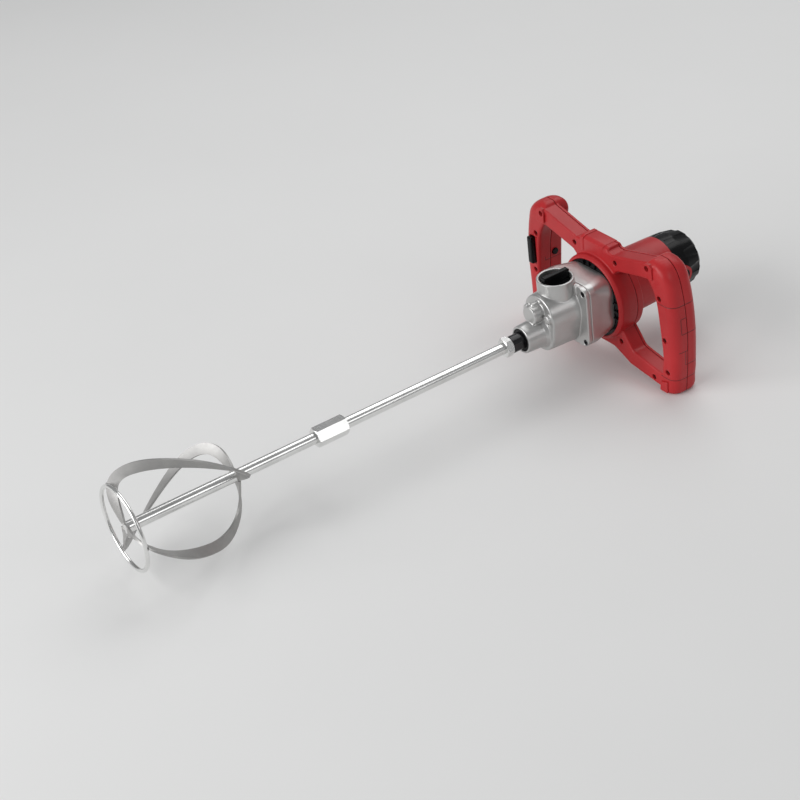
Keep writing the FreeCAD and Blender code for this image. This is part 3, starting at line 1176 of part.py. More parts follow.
def cap_flute():
    """Cutter for one flute at the top of the cap: level at first, then sloping in to the rear edge."""
    level_z = MOTOR_Z + CAP_FRONT_R - CAP_FLUTE_FRONT_DEPTH + CAP_FLUTE_R
    rear_z = MOTOR_Z + CAP_REAR_R - CAP_FLUTE_REAR_DEPTH + CAP_FLUTE_R
    level = rod_y(CAP_FLUTE_R, CAP_FLUTE_FRONT_Y, CAP_FLUTE_BEND_Y + JOIN, 0, level_z)
    bend = V(0, CAP_FLUTE_BEND_Y, level_z)
    slope = V(0, CAP_REAR_Y, rear_z) - bend
    sloping = cylinder(CAP_FLUTE_R, bend, 2 * slope.Length, slope)
    return level.fuse(sloping)


def end_cap():
    """Black fluted end cap with arches round the brush bosses."""
    inner = CAP_FRONT_R - CAP_WALL
    shoulder_y = WEB_FRONT_Y + WEB_THICKNESS
    step_r = CAP_REAR_R - CAP_FLUTE_REAR_DEPTH - CAP_WALL
    rear_bend = CAP_REAR_Y - CAP_BEND
    outside = turned([(0, CAP_FRONT_Y), (CAP_FRONT_R, CAP_FRONT_Y),
                      (CAP_FRONT_R - CAP_DRAFT, CAP_FLUTE_BEND_Y), (CAP_REAR_R + CAP_BEND_OUT, rear_bend),
                      (CAP_REAR_R - CAP_REAR_EDGE, CAP_REAR_Y), (0, CAP_REAR_Y)], MOTOR_Z)
    inside = turned([(0, CAP_FRONT_Y), (inner, CAP_FRONT_Y), (inner, shoulder_y), (step_r, shoulder_y),
                     (step_r, CAP_REAR_Y - CAP_WALL), (0, CAP_REAR_Y - CAP_WALL)], MOTOR_Z)
    cap = outside.cut(inside)
    for i in range(CAP_FLUTES):
        flute = cap_flute()
        flute.rotate(V(0, 0, MOTOR_Z), ALONG_Y, 360 * (i + 0.5) / CAP_FLUTES)
        cap = cap.cut(flute)
    arch_r = BRUSH_BOSS_R + CLAMP_GAP
    reach = CAP_FRONT_R + CAP_ARCH_REACH
    arch = cylinder(arch_r, V(0, BRUSH_Y, MOTOR_Z), reach, ALONG_X)
    mouth = block(0, reach, CAP_FRONT_Y - JOIN, BRUSH_Y, MOTOR_Z - arch_r, MOTOR_Z + arch_r)
    cap = cap.cut(both_sides(arch.fuse(mouth)))
    for x in (-CAP_SCREW_X, CAP_SCREW_X):
        post_r = SCREW_HEAD_R + HEAD_ROOM + CAP_POST_WALL
        cap = cap.fuse(rod_y(post_r, shoulder_y, CAP_REAR_Y - CAP_WALL / 2, x, MOTOR_Z))
        cap = cap.cut(rod_y(SCREW_R + SHANK_ROOM, shoulder_y, CAP_REAR_Y, x, MOTOR_Z))
        cap = cap.cut(rod_y(SCREW_HEAD_R + HEAD_ROOM, CAP_REAR_Y - CAP_SCREW_SINK, CAP_REAR_Y, x, MOTOR_Z))
    return cap


def cap_screws():
    """Two screws that hold the end cap to the motor housing."""
    head_y = CAP_REAR_Y - CAP_SCREW_SINK
    length = head_y - WEB_FRONT_Y - TIP_ROOM
    places = (-CAP_SCREW_X, CAP_SCREW_X)
    return Part.makeCompound([cap_head_screw(x, MOTOR_Z, head_y, length, -1) for x in places])


def motor_screws():
    """Four screws from the motor housing's bell into the rear gear housing."""
    head_y = HOUSING_REAR_Y + BAFFLE_THICKNESS + BELL_FLOOR
    length = head_y - HOUSING_REAR_Y + MOTOR_SCREW_DEPTH
    return Part.makeCompound([cap_head_screw(x, z, head_y, length, -1) for x, z in motor_screw_places()])


# Handle frame

def grip_section(station, inset):
    """Outline of a grip at one height: two outer and two inner rounded corners."""
    z, x_in, x_out, y_front, y_rear = station
    x_in, x_out = x_in + inset, x_out - inset
    y_front, y_rear = y_front + inset, y_rear - inset
    depth = y_rear - y_front
    width = x_out - x_in
    outer = min(GRIP_OUTER_R - inset, depth / 2 - GRIP_FLAT, width - 2 * GRIP_FLAT)
    inner = min(max(GRIP_INNER_R - inset, GRIP_FLAT), width - outer - GRIP_FLAT / 2)
    corner = math.sqrt(0.5)
    edges = []
    arcs = [
        (x_out, y_front, -1, 1, outer), (x_out, y_rear, -1, -1, outer),
        (x_in, y_rear, 1, -1, inner), (x_in, y_front, 1, 1, inner),
    ]
    points = []
    for x, y, sx, sy, r in arcs:
        centre = V(x + sx * r, y + sy * r, z)
        on_y = V(centre.x, y, z)
        on_x = V(x, centre.y, z)
        middle = V(centre.x - sx * r * corner, centre.y - sy * r * corner, z)
        points.append((on_y, middle, on_x) if sx * sy < 0 else (on_x, middle, on_y))
    for i, (first, middle, second) in enumerate(points):
        edges.append(Part.Arc(first, middle, second).toShape())
        edges.append(Part.makeLine(second, points[(i + 1) % 4][0]))
    return Part.Wire(edges)


def grip(inset=0.0):
    """Right grip with its foot and ear, or the hollow inside it."""
    stations = GRIP_STATIONS
    if inset:
        low = (FOOT_Z + inset,) + GRIP_STATIONS[1][1:]
        high = (GRIP_STATIONS[-1][0] - inset,) + GRIP_STATIONS[-1][1:]
        stations = [low] + GRIP_STATIONS[2:-1] + [high]
    return Part.makeLoft([grip_section(s, inset) for s in stations], True, False)


def arm_outlines():
    """Corner points of the upper and lower cross bars, right round."""
    upper_right = UPPER_ARM_TOP + [(UPPER_ARM_END_X, UPPER_ARM_TOP[-1][1], ARM_END_R),
                                   (UPPER_ARM_END_X, UPPER_ARM_LOW[0][1], ARM_END_R)] + UPPER_ARM_LOW
    lower_right = LOWER_ARM_TOP + [(LOWER_ARM_END_X, LOWER_ARM_END_TOP_Z, ARM_END_R),
                                   (LOWER_ARM_END_X, LOWER_ARM_END_LOW_Z, ARM_END_R)] + LOWER_ARM_LOW
    outlines = []
    for right in (upper_right, lower_right):
        left = [(-x, z, r) for x, z, r in reversed(right)]
        outlines.append(right + left)
    return outlines


def arms(inset=0.0):
    """Upper and lower cross bars between the grips, or the hollow inside them."""
    bars = []
    for outline in arm_outlines():
        wire = rounded_wire(outline, FRAME_FRONT_Y + inset)
        depth = FRAME_REAR_Y - FRAME_FRONT_Y - 2 * inset
        if inset:
            wire = wire.makeOffset2D(-inset)
            bars.append(wire_prism(wire, depth))
        else:
            bar = wire_prism(wire, depth)
            bars.append(bar.makeFillet(FRAME_EDGE_R, plane_edges(bar, FRAME_FRONT_Y)))
    return bars


def drum():
    """Round middle of the frame with its forward rim."""
    return turned([(0, RIM_Y), (RIM_R - RIM_CHAMFER, RIM_Y), (RIM_R, RIM_Y + RIM_CHAMFER),
                   (DRUM_R, RIM_Y + RIM_LENGTH), (DRUM_R, DRUM_BREAK_Y), (DRUM_REAR_R, DRUM_REAR_Y),
                   (0, DRUM_REAR_Y)], MOTOR_Z)


def saddle():
    """Raised block on top of the upper bar."""
    half = SADDLE_HALF_WIDTH
    front = FRAME_FRONT_Y + SADDLE_SET_BACK
    rear = FRAME_REAR_Y + SADDLE_OVERHANG
    slope = SADDLE_TOP_Z - SADDLE_FRONT_Z
    profile = [(front, SADDLE_LOW_Z), (front, SADDLE_FRONT_Z), (front + 2 * slope, SADDLE_TOP_Z),
               (rear - slope, SADDLE_TOP_Z), (rear, SADDLE_TOP_Z - 2 * slope), (rear, SADDLE_LOW_Z)]
    corners = [V(-half, y, z) for y, z in profile]
    solid = Part.Face(Part.makePolygon(corners + corners[:1])).extrude(V(2 * half, 0, 0))
    edges = [e for e in solid.Edges if e.BoundBox.ZMin > SADDLE_TOP_Z - 3 * slope]
    return solid.makeFillet(SADDLE_EDGE_R, edges)


def shell_screw_places():
    """Each shell screw's centre, with the rear face and the end of its hole behind it."""
    places = [(x, z, GRIP_REAR_Y, GRIP_REAR_Y - GRIP_SCREW_COVER) for x, z in GRIP_SCREWS]
    places += [(x, z, FRAME_REAR_Y, FRAME_REAR_Y - ARM_SCREW_COVER) for x, z in ARM_SCREWS]
    return [(side * x, z, rear, tip) for side in (-1, 1) for x, z, rear, tip in places]


def frame_solid():
    """Outside of both shells together."""
    right = grip()
    return fused([right, mirrored(right), drum(), saddle()] + arms())


def frame_hollow():
    """Space inside both shells together."""
    right = grip(SHELL_WALL)
    recess = rod_y(RECESS_R, RIM_Y, RECESS_REAR_Y, 0, MOTOR_Z)
    bore = rod_y(MOTOR_TUBE_R + CLAMP_GAP, RECESS_REAR_Y, DRUM_REAR_Y, 0, MOTOR_Z)
    return [right, mirrored(right), recess, bore] + arms(SHELL_WALL)


def handle_shells():
    """Front shell, rear shell and the covers behind the left and right grips."""
    outside = frame_solid()
    hollow = outside
    for space in frame_hollow():
        hollow = hollow.cut(space)
    posts = []
    for x, z, rear_y, tip_y in shell_screw_places():
        posts.append(rod_y(SHELL_BOSS_R, FRAME_FRONT_Y, rear_y, x, z).common(outside))
    whole = hollow.multiFuse(posts)
    whole = whole.cut(rod_y(MOTOR_TUBE_R + CLAMP_GAP, RECESS_REAR_Y, DRUM_REAR_Y, 0, MOTOR_Z))
    half = outside.BoundBox.XMax + JOIN
    low = FOOT_Z - JOIN
    top = outside.BoundBox.ZMax + JOIN
    front = whole.common(block(-half, half, RIM_Y - JOIN, 0, low, top))
    rear = whole.common(block(-half, half, 0, GRIP_REAR_Y + JOIN, low, top))
    head_seat = FRAME_FRONT_Y + SHELL_SCREW_SINK + SHELL_SCREW_HEAD_HEIGHT
    for x, z, rear_y, tip_y in shell_screw_places():
        front = front.cut(rod_y(SHELL_SCREW_HEAD_R + CLAMP_GAP, RIM_Y, head_seat, x, z))
        front = front.cut(rod_y(SHELL_SCREW_R + SHANK_ROOM, head_seat, 0, x, z))
        rear = rear.cut(rod_y(SHELL_SCREW_R + SEAT_GAP, 0, tip_y, x, z))
    front = front.cut(trigger_block(SLIDE_GAP, RIM_Y, trigger_flange_y() + JOIN))
    rear = rear.cut(button_stem(SLIDE_GAP / 2, BUTTON_BORE_REACH))
    bush_end = GRIP_REAR_Y - CORD_BUSH_DEPTH - JOIN
    rear = rear.cut(rod_y(CORD_BUSH_R + SEAT_GAP, bush_end, GRIP_REAR_Y + JOIN, CORD_BUSH_X, CORD_BUSH_Z))
    rear = rear.removeSplitter()
    joint = DRUM_R + COVER_STEP
    pieces = [front.removeSplitter()]
    for x0, x1 in ((-joint, joint), (-half, -joint), (joint, half)):
        pieces.append(rear.common(block(x0, x1, 0, GRIP_REAR_Y + JOIN, low, top)))
    return pieces


def handle_screws():
    """All shell screws with their sunk cross-recess heads."""
    screws = []
    head_front = FRAME_FRONT_Y + SHELL_SCREW_SINK
    head_rear = head_front + SHELL_SCREW_HEAD_HEIGHT
    long_half = CROSS_LENGTH / 2
    thin_half = CROSS_WIDTH / 2
    for x, z, rear_y, tip_y in shell_screw_places():
        head = rod_y(SHELL_SCREW_HEAD_R, head_front, head_rear, x, z)
        shank = rod_y(SHELL_SCREW_R, head_rear, tip_y - SHELL_TIP_ROOM, x, z)
        screw = head.fuse(shank)
        for dx, dz in ((long_half, thin_half), (thin_half, long_half)):
            screw = screw.cut(block(x - dx, x + dx, head_front, head_front + CROSS_DEPTH, z - dz, z + dz))
        screws.append(screw)
    return Part.makeCompound(screws)


# Switch, trigger and lock button

def trigger_block(grow, y0, y1):
    """Straight block with the trigger's section."""
    half_w = TRIGGER_WIDTH / 2 + grow
    half_h = TRIGGER_HEIGHT / 2 + grow
    return block(TRIGGER_X - half_w, TRIGGER_X + half_w, y0, y1, TRIGGER_Z - half_h, TRIGGER_Z + half_h)


def trigger_flange_y():
    """Front face of the flange that keeps the trigger in the grip."""
    return GRIP_FRONT_Y + SHELL_WALL + SLIDE_GAP


def trigger():
    """Finger trigger with its inner flange and the stem that works the switch."""
    flange_y = trigger_flange_y()
    pad = trigger_block(0, FRAME_FRONT_Y - TRIGGER_PROUD, flange_y + JOIN)
    front_edges = plane_edges(pad, FRAME_FRONT_Y - TRIGGER_PROUD)
    pad = pad.makeFillet(TRIGGER_EDGE_R, front_edges)
    half_h = TRIGGER_HEIGHT / 2 + TRIGGER_FLANGE
    half_w = TRIGGER_WIDTH / 2
    flange = block(TRIGGER_X - half_w - TRIGGER_FLANGE_SIDE, TRIGGER_X + half_w, flange_y,
                   flange_y + TRIGGER_FLANGE_THICKNESS, TRIGGER_Z - half_h, TRIGGER_Z + half_h)
    stem = rod_y(TRIGGER_STEM_R, flange_y, SWITCH_FRONT_Y + STEM_DEPTH, TRIGGER_X, TRIGGER_Z)
    return fused([pad, flange, stem])


def trigger_spring():
    """Return spring round the trigger's stem."""
    start = V(TRIGGER_X, trigger_flange_y() + TRIGGER_FLANGE_THICKNESS + SPRING_SEAT_GAP, TRIGGER_Z)
    length = SWITCH_FRONT_Y + SPRING_POCKET_DEPTH - SPRING_SEAT_GAP - start.y
    return coil_spring(TRIGGER_SPRING_R, TRIGGER_SPRING_WIRE_R, TRIGGER_SPRING_PITCH, length, start, ALONG_Y)


def switch_body():
    """Switch module behind the trigger, with bores for the trigger's stem and spring and the lock button."""
    half_w = SWITCH_WIDTH / 2
    half_h = SWITCH_HEIGHT / 2
    rear = GRIP_REAR_Y - SHELL_WALL - CLAMP_GAP
    inner_x = TRIGGER_X + half_w
    body = block(TRIGGER_X - half_w, inner_x, SWITCH_FRONT_Y, rear, TRIGGER_Z - half_h, TRIGGER_Z + half_h)
    bore_end = SWITCH_FRONT_Y + STEM_DEPTH + TRIGGER_TRAVEL + SLIDE_GAP
    body = body.cut(rod_y(TRIGGER_STEM_R + SLIDE_GAP, SWITCH_FRONT_Y, bore_end, TRIGGER_X, TRIGGER_Z))
    seat_r = TRIGGER_SPRING_R + TRIGGER_SPRING_WIRE_R + SLIDE_GAP
    seat_y = SWITCH_FRONT_Y + SPRING_POCKET_DEPTH
    body = body.cut(rod_y(seat_r, SWITCH_FRONT_Y, seat_y, TRIGGER_X, TRIGGER_Z))
    pocket_x = button_inner_x() - BUTTON_TRAVEL - SLIDE_GAP
    pocket_start = V(pocket_x, BUTTON_Y, BUTTON_Z)
    pocket = cylinder(BUTTON_FLANGE_R + SLIDE_GAP, pocket_start, inner_x - pocket_x, ALONG_X)
    return body.cut(pocket)


def grip_inner_x(z):
    """Inner face of the left grip at a height, between two stations."""
    for low, high in zip(GRIP_STATIONS, GRIP_STATIONS[1:]):
        if low[0] <= z <= high[0]:
            share = (z - low[0]) / (high[0] - low[0])
            return -(low[1] + (high[1] - low[1]) * share)
    return -GRIP_STATIONS[-1][1]


def button_stem(grow, extra):
    """Round stem with the lock button's section, pointing into the left grip."""
    outer = grip_inner_x(BUTTON_Z) + BUTTON_PROUD + extra
    inner = button_inner_x() + BUTTON_FLANGE_THICKNESS
    return cylinder(BUTTON_R + grow, V(inner, BUTTON_Y, BUTTON_Z), outer - inner, ALONG_X)


def button_inner_x():
    """Inner end of the lock button, behind its flange."""
    return grip_inner_x(BUTTON_Z) - SHELL_WALL - BUTTON_FLANGE_DROP - BUTTON_FLANGE_THICKNESS


def lock_button():
    """Round lock-on button with a flange inside the grip."""
    stem = button_stem(0, 0)
    face = [e for e in stem.Edges if e.BoundBox.XMin > stem.BoundBox.XMax - TINY]
    stem = stem.makeFillet(BUTTON_EDGE_R, face)
    flange_start = V(button_inner_x(), BUTTON_Y, BUTTON_Z)
    return fused([stem, cylinder(BUTTON_FLANGE_R, flange_start, BUTTON_FLANGE_THICKNESS, ALONG_X)])


def cord_bush():
    """Rubber bush in the rear of the left grip's foot."""
    inner_y = GRIP_REAR_Y - CORD_BUSH_DEPTH
    body = rod_y(CORD_BUSH_R, inner_y, GRIP_REAR_Y + CORD_BUSH_PROUD, CORD_BUSH_X, CORD_BUSH_Z)
    outer_y = GRIP_REAR_Y + CORD_BUSH_PROUD
    flange = rod_y(CORD_BUSH_FLANGE_R, GRIP_REAR_Y + CLAMP_GAP, outer_y, CORD_BUSH_X, CORD_BUSH_Z)
    bore = rod_y(CORD_BORE_R, inner_y, outer_y, CORD_BUSH_X, CORD_BUSH_Z)
    return body.fuse(flange).cut(bore)


def build():
    """Every piece by name, in the modelling frame."""
    upper_rod, lower_rod = stirrer_rods()
    ring = stirrer_ring()
    nut_front = COUPLING_NUT_MIDDLE_Y - COUPLING_NUT_LENGTH / 2
    parts = {
        "stirrer_upper_rod": upper_rod,
        "stirrer_lower_rod": lower_rod,
        "stirrer_coupling_nut": hex_nut(nut_front, COUPLING_NUT_LENGTH),
        "stirrer_lock_nut": hex_nut(SPINDLE_FRONT_Y - LOCK_NUT_LENGTH, LOCK_NUT_LENGTH),
        "stirrer_ring": ring,
    }
    for index in range(BLADE_COUNT):
        parts["stirrer_blade_%d" % (index + 1)] = stirrer_blade(index, lower_rod, ring)
    low_gear_front = LOW_PINION_REAR_Y - GEAR_FACE
    plate_rear = FLANGE_REAR_Y + BEARING_PLATE_THICKNESS
    front_shell, rear_shell, left_cover, right_cover = handle_shells()
    parts.update({
        "output_spindle": output_spindle(),
        "spindle_low_gear": spindle_gear(LOW_GEAR_TEETH, low_gear_front),
        "spindle_high_gear": spindle_gear(HIGH_GEAR_TEETH, HIGH_GEAR_FRONT_Y),
        "spindle_front_bearing": bearing(SPINDLE_FRONT_BEARING, SPINDLE_BEARING_FRONT_Y),
        "spindle_rear_bearing": bearing(SPINDLE_REAR_BEARING, plate_rear - SPINDLE_REAR_BEARING[2]),
        "spindle_circlip": spindle_circlip(),
        "spindle_seal": spindle_seal(),
        "layshaft": layshaft(),
        "layshaft_gear": layshaft_gear(),
        "layshaft_front_bearing": bearing(LAYSHAFT_BEARING, LAYSHAFT_BEARING_FRONT_Y, LAYSHAFT_Z),
        "layshaft_rear_bearing": bearing(LAYSHAFT_BEARING, LAYSHAFT_REAR_BEARING_Y, LAYSHAFT_Z),
        "shift_pinions": shift_pinions(),
        "selector_knob": selector_knob(),
        "gear_housing_front": gear_housing_front(),
        "gear_housing_rear": gear_housing_rear(),
        "bearing_plate": bearing_plate(),
        "housing_screws": housing_screws(),
        "air_baffle": air_baffle(),
        "motor_housing": motor_housing(),
        "motor_screws": motor_screws(),
        "armature_shaft": armature_shaft(),
        "armature_core": armature_core(),
        "armature_windings": armature_windings(),
        "commutator": commutator(),
        "cooling_fan": cooling_fan(),
        "armature_front_bearing": bearing(ARMATURE_BEARING, ARMATURE_BEARING_FRONT_Y, MOTOR_Z),
        "armature_rear_bearing": bearing(ARMATURE_BEARING, ARMATURE_REAR_BEARING_Y, MOTOR_Z),
        "stator_core": stator_core(),
        "field_coils": field_coils(),
        "brush_holders": brush_holders(),
        "carbon_brushes": carbon_brushes(),
        "brush_springs": brush_springs(),
        "brush_caps": brush_caps(),
        "end_cap": end_cap(),
        "cap_screws": cap_screws(),
        "handle_front_shell": front_shell,
        "handle_rear_shell": rear_shell,
        "grip_rear_cover_left": left_cover,
        "grip_rear_cover_right": right_cover,
        "handle_screws": handle_screws(),
        "trigger": trigger(),
        "trigger_spring": trigger_spring(),
        "switch_body": switch_body(),
        "lock_button": lock_button(),
        "cord_bush": cord_bush(),
    })
    return parts


def origin_shift(parts):
    """Move that puts the origin under the middle of the whole tool."""
    box = FreeCAD.BoundBox()
    for shape in parts.values():
        box.add(shape.optimalBoundingBox(False))
    return V(-(box.XMin + box.XMax) / 2, -(box.YMin + box.YMax) / 2, -box.ZMin)


os.makedirs("parts", exist_ok=True)
PIECES = build()
SHIFT = origin_shift(PIECES)
for name, shape in PIECES.items():
    placed = shape.copy()
    placed.translate(SHIFT)
    placed.exportStep("parts/%s.step" % name)
    facts = (name, len(placed.Solids), placed.Volume, placed.isValid())
    print("%-24s %3d solids %10.1f mm3 valid %s" % facts)
print("origin shift", [round(v, 4) for v in SHIFT])
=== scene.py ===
# %% [markdown]
# A two-handed mixing drill, dressed for the studio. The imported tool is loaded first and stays
# where it is. Everything made below is measured from it, so each piece sits on what carries it.

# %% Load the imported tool
import json
import math

import bmesh
import bpy
from mathutils import Matrix, Vector


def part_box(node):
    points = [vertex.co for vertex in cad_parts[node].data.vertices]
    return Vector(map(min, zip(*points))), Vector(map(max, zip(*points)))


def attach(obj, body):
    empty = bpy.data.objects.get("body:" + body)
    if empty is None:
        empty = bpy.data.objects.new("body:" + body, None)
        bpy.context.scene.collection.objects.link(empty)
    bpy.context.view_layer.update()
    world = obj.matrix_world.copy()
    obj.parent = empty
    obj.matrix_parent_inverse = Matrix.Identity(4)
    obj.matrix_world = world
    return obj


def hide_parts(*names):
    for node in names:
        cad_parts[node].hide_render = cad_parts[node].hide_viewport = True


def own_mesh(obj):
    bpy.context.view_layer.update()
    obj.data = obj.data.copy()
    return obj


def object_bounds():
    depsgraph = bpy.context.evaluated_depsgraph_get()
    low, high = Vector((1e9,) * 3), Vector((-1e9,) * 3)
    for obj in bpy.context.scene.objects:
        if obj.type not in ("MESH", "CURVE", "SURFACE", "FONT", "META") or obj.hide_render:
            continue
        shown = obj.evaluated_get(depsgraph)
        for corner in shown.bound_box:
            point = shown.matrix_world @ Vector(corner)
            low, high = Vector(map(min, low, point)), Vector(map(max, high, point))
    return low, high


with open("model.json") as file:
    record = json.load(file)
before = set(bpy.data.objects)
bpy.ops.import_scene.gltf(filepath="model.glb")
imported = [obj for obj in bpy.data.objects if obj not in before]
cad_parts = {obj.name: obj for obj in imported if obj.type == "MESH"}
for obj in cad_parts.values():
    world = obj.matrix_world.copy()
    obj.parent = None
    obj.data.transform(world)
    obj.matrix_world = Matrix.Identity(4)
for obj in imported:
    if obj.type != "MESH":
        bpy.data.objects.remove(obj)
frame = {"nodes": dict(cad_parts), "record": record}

nodes = frame["nodes"]
cad_low, cad_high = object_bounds()

# %% [markdown]
# The tool's two main lines are the spindle's axis and the plane where the grips' shells meet.
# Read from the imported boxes, they give a place in millimetres that is easy to think in.

# %% Measure the spindle's axis and the shells' split
MM = 0.001
rod_low, rod_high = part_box("stirrer_upper_rod")
SPINDLE_Z = (rod_low.z + rod_high.z) / 2
SPLIT_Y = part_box("handle_front_shell")[1].y


def spot(x, y, z):
    """A place in metres, from millimetres right of the axis, behind the split and above the axis."""
    return Vector((x * MM, SPLIT_Y + y * MM, SPINDLE_Z + z * MM))


print("spindle height %.4f m, shells meet at y %.4f m" % (SPINDLE_Z, SPLIT_Y))

# %% [markdown]
# Materials share a few effects, so each effect is one node group that is placed in many
# materials with its own values. Three small helpers keep the wiring readable: one starts a
# group, one places a group, and one places a math node.

# %% Helpers for node trees
def new_group(name, inputs, outputs):
    """An empty shader group with named sockets, with its input and output nodes."""
    group = bpy.data.node_groups.new(name, "ShaderNodeTree")
    for label, kind in inputs:
        group.interface.new_socket(label, in_out="INPUT", socket_type=kind)
    for label, kind in outputs:
        group.interface.new_socket(label, in_out="OUTPUT", socket_type=kind)
    return group, group.nodes.new("NodeGroupInput").outputs, group.nodes.new("NodeGroupOutput").inputs


def feed(tree, socket, value):
    """Link another socket to this one, or set its own value."""
    if isinstance(value, bpy.types.NodeSocket):
        tree.links.new(value, socket)
    else:
        socket.default_value = value


def placed(tree, group, **inputs):
    """Place a group in a tree and return its outputs; underscores stand for spaces."""
    made = tree.nodes.new("ShaderNodeGroup")
    made.node_tree = group
    for label, value in inputs.items():
        feed(tree, made.inputs[label.replace("_", " ")], value)
    return made.outputs


def calc(tree, operation, first, second=0.0, clamp=False):
    """One math node and its result."""
    made = tree.nodes.new("ShaderNodeMath")
    made.operation = operation
    made.use_clamp = clamp
    feed(tree, made.inputs[0], first)
    feed(tree, made.inputs[1], second)
    return made.outputs[0]


def noise(tree, place, scale, detail=3.0, roughness=0.55):
    """One noise texture and its value."""
    made = tree.nodes.new("ShaderNodeTexNoise")
    feed(tree, made.inputs["Vector"], place)
    feed(tree, made.inputs["Scale"], scale)
    made.inputs["Detail"].default_value = detail
    made.inputs["Roughness"].default_value = roughness
    return made.outputs["Fac"]


# Places of a mix node's sockets when it mixes colours
MIX_MASK, MIX_FIRST, MIX_SECOND, MIX_RESULT = 0, 6, 7, 2


def mixed(tree, mask, first, second):
    """Two colours mixed by a mask."""
    made = tree.nodes.new("ShaderNodeMix")
    made.data_type = "RGBA"
    feed(tree, made.inputs[MIX_MASK], mask)
    feed(tree, made.inputs[MIX_FIRST], first)
    feed(tree, made.inputs[MIX_SECOND], second)
    return made.outputs[MIX_RESULT]


print("helpers ready")

# %% [markdown]
# No moulding or casting has one even colour. Cooling, handling and polishing leave broad, faint
# clouds of tone. A slow noise between a darker and a lighter shade gives them.

# %% Group: clouds of tone
CLOUD_FLOOR = 0.35
CLOUD_CONTRAST = 3.0
tone_clouds, given, out = new_group(
    "tone_clouds",
    [("Place", "NodeSocketVector"), ("Scale", "NodeSocketFloat"),
     ("Dark", "NodeSocketColor"), ("Light", "NodeSocketColor")],
    [("Color", "NodeSocketColor")])
cloud = noise(tone_clouds, given["Place"], given["Scale"], detail=4.0)
lifted = calc(tone_clouds, "SUBTRACT", cloud, CLOUD_FLOOR)
cloud = calc(tone_clouds, "MULTIPLY", lifted, CLOUD_CONTRAST, clamp=True)
tone_clouds.links.new(mixed(tone_clouds, cloud, given["Dark"], given["Light"]), out["Color"])
print("tone_clouds has", len(tone_clouds.nodes), "nodes")

# %% [markdown]
# Up close, moulded plastic has a spark-eroded grain and cast metal a blasted one. Both are fine
# noise as height. The same noise nudges the roughness, so highlights break up a little.

# %% Group: fine grain
BROAD_SCALE = 0.03
FINE_SHARE, BROAD_SHARE = 0.4, 0.6
fine_grain, given, out = new_group(
    "fine_grain",
    [("Place", "NodeSocketVector"), ("Scale", "NodeSocketFloat"),
     ("Smooth", "NodeSocketFloat"), ("Rough", "NodeSocketFloat")],
    [("Height", "NodeSocketFloat"), ("Roughness", "NodeSocketFloat")])
speck = noise(fine_grain, given["Place"], given["Scale"], detail=2.0, roughness=0.6)
fine_grain.links.new(speck, out["Height"])
broad = noise(fine_grain, given["Place"], calc(fine_grain, "MULTIPLY", given["Scale"], BROAD_SCALE))
fine_part = calc(fine_grain, "MULTIPLY", speck, FINE_SHARE)
broad_part = calc(fine_grain, "MULTIPLY", broad, BROAD_SHARE)
blend = calc(fine_grain, "ADD", fine_part, broad_part)
span = calc(fine_grain, "SUBTRACT", given["Rough"], given["Smooth"])
rough = calc(fine_grain, "ADD", given["Smooth"], calc(fine_grain, "MULTIPLY", span, blend))
fine_grain.links.new(rough, out["Roughness"])
print("fine_grain has", len(fine_grain.nodes), "nodes")

# %% [markdown]
# A lathe leaves fine rings round an axis, and a drawn bar fine lines along it. Noise that is
# squeezed in one direction and stretched in the others gives either, from one stretch vector.

# %% Group: tool marks
tool_marks, given, out = new_group(
    "tool_marks",
    [("Place", "NodeSocketVector"), ("Stretch", "NodeSocketVector"),
     ("Smooth", "NodeSocketFloat"), ("Rough", "NodeSocketFloat")],
    [("Height", "NodeSocketFloat"), ("Roughness", "NodeSocketFloat")])
stretched = tool_marks.nodes.new("ShaderNodeVectorMath")
stretched.operation = "MULTIPLY"
tool_marks.links.new(given["Place"], stretched.inputs[0])
tool_marks.links.new(given["Stretch"], stretched.inputs[1])
mark = noise(tool_marks, stretched.outputs[0], 1.0, detail=4.0, roughness=0.7)
tool_marks.links.new(mark, out["Height"])
span = calc(tool_marks, "SUBTRACT", given["Rough"], given["Smooth"])
rough = calc(tool_marks, "ADD", given["Smooth"], calc(tool_marks, "MULTIPLY", span, mark))
tool_marks.links.new(rough, out["Roughness"])
print("tool_marks has", len(tool_marks.nodes), "nodes")

# %% [markdown]
# Panel joints on the grips and the parting line of the castings are thin grooves that run along
# one axis for a given length. A stroke group turns two coordinates into a soft-edged mask, which
# is full near the middle line and fades out at one and a half times the half width.

# %% Group: stroke
FADED_OUT = 1.5
stroke, given, out = new_group(
    "stroke",
    [("Across", "NodeSocketFloat"), ("Along", "NodeSocketFloat"), ("Centre", "NodeSocketFloat"),
     ("Start", "NodeSocketFloat"), ("End", "NodeSocketFloat"), ("Half Width", "NodeSocketFloat")],
    [("Mask", "NodeSocketFloat")])
away = calc(stroke, "ABSOLUTE", calc(stroke, "SUBTRACT", given["Across"], given["Centre"]))
share = calc(stroke, "DIVIDE", away, given["Half Width"])
line = calc(stroke, "SUBTRACT", FADED_OUT, share, clamp=True)
after = calc(stroke, "GREATER_THAN", given["Along"], given["Start"])
before = calc(stroke, "LESS_THAN", given["Along"], given["End"])
stroke.links.new(calc(stroke, "MULTIPLY", line, calc(stroke, "MULTIPLY", after, before)), out["Mask"])
print("stroke has", len(stroke.nodes), "nodes")
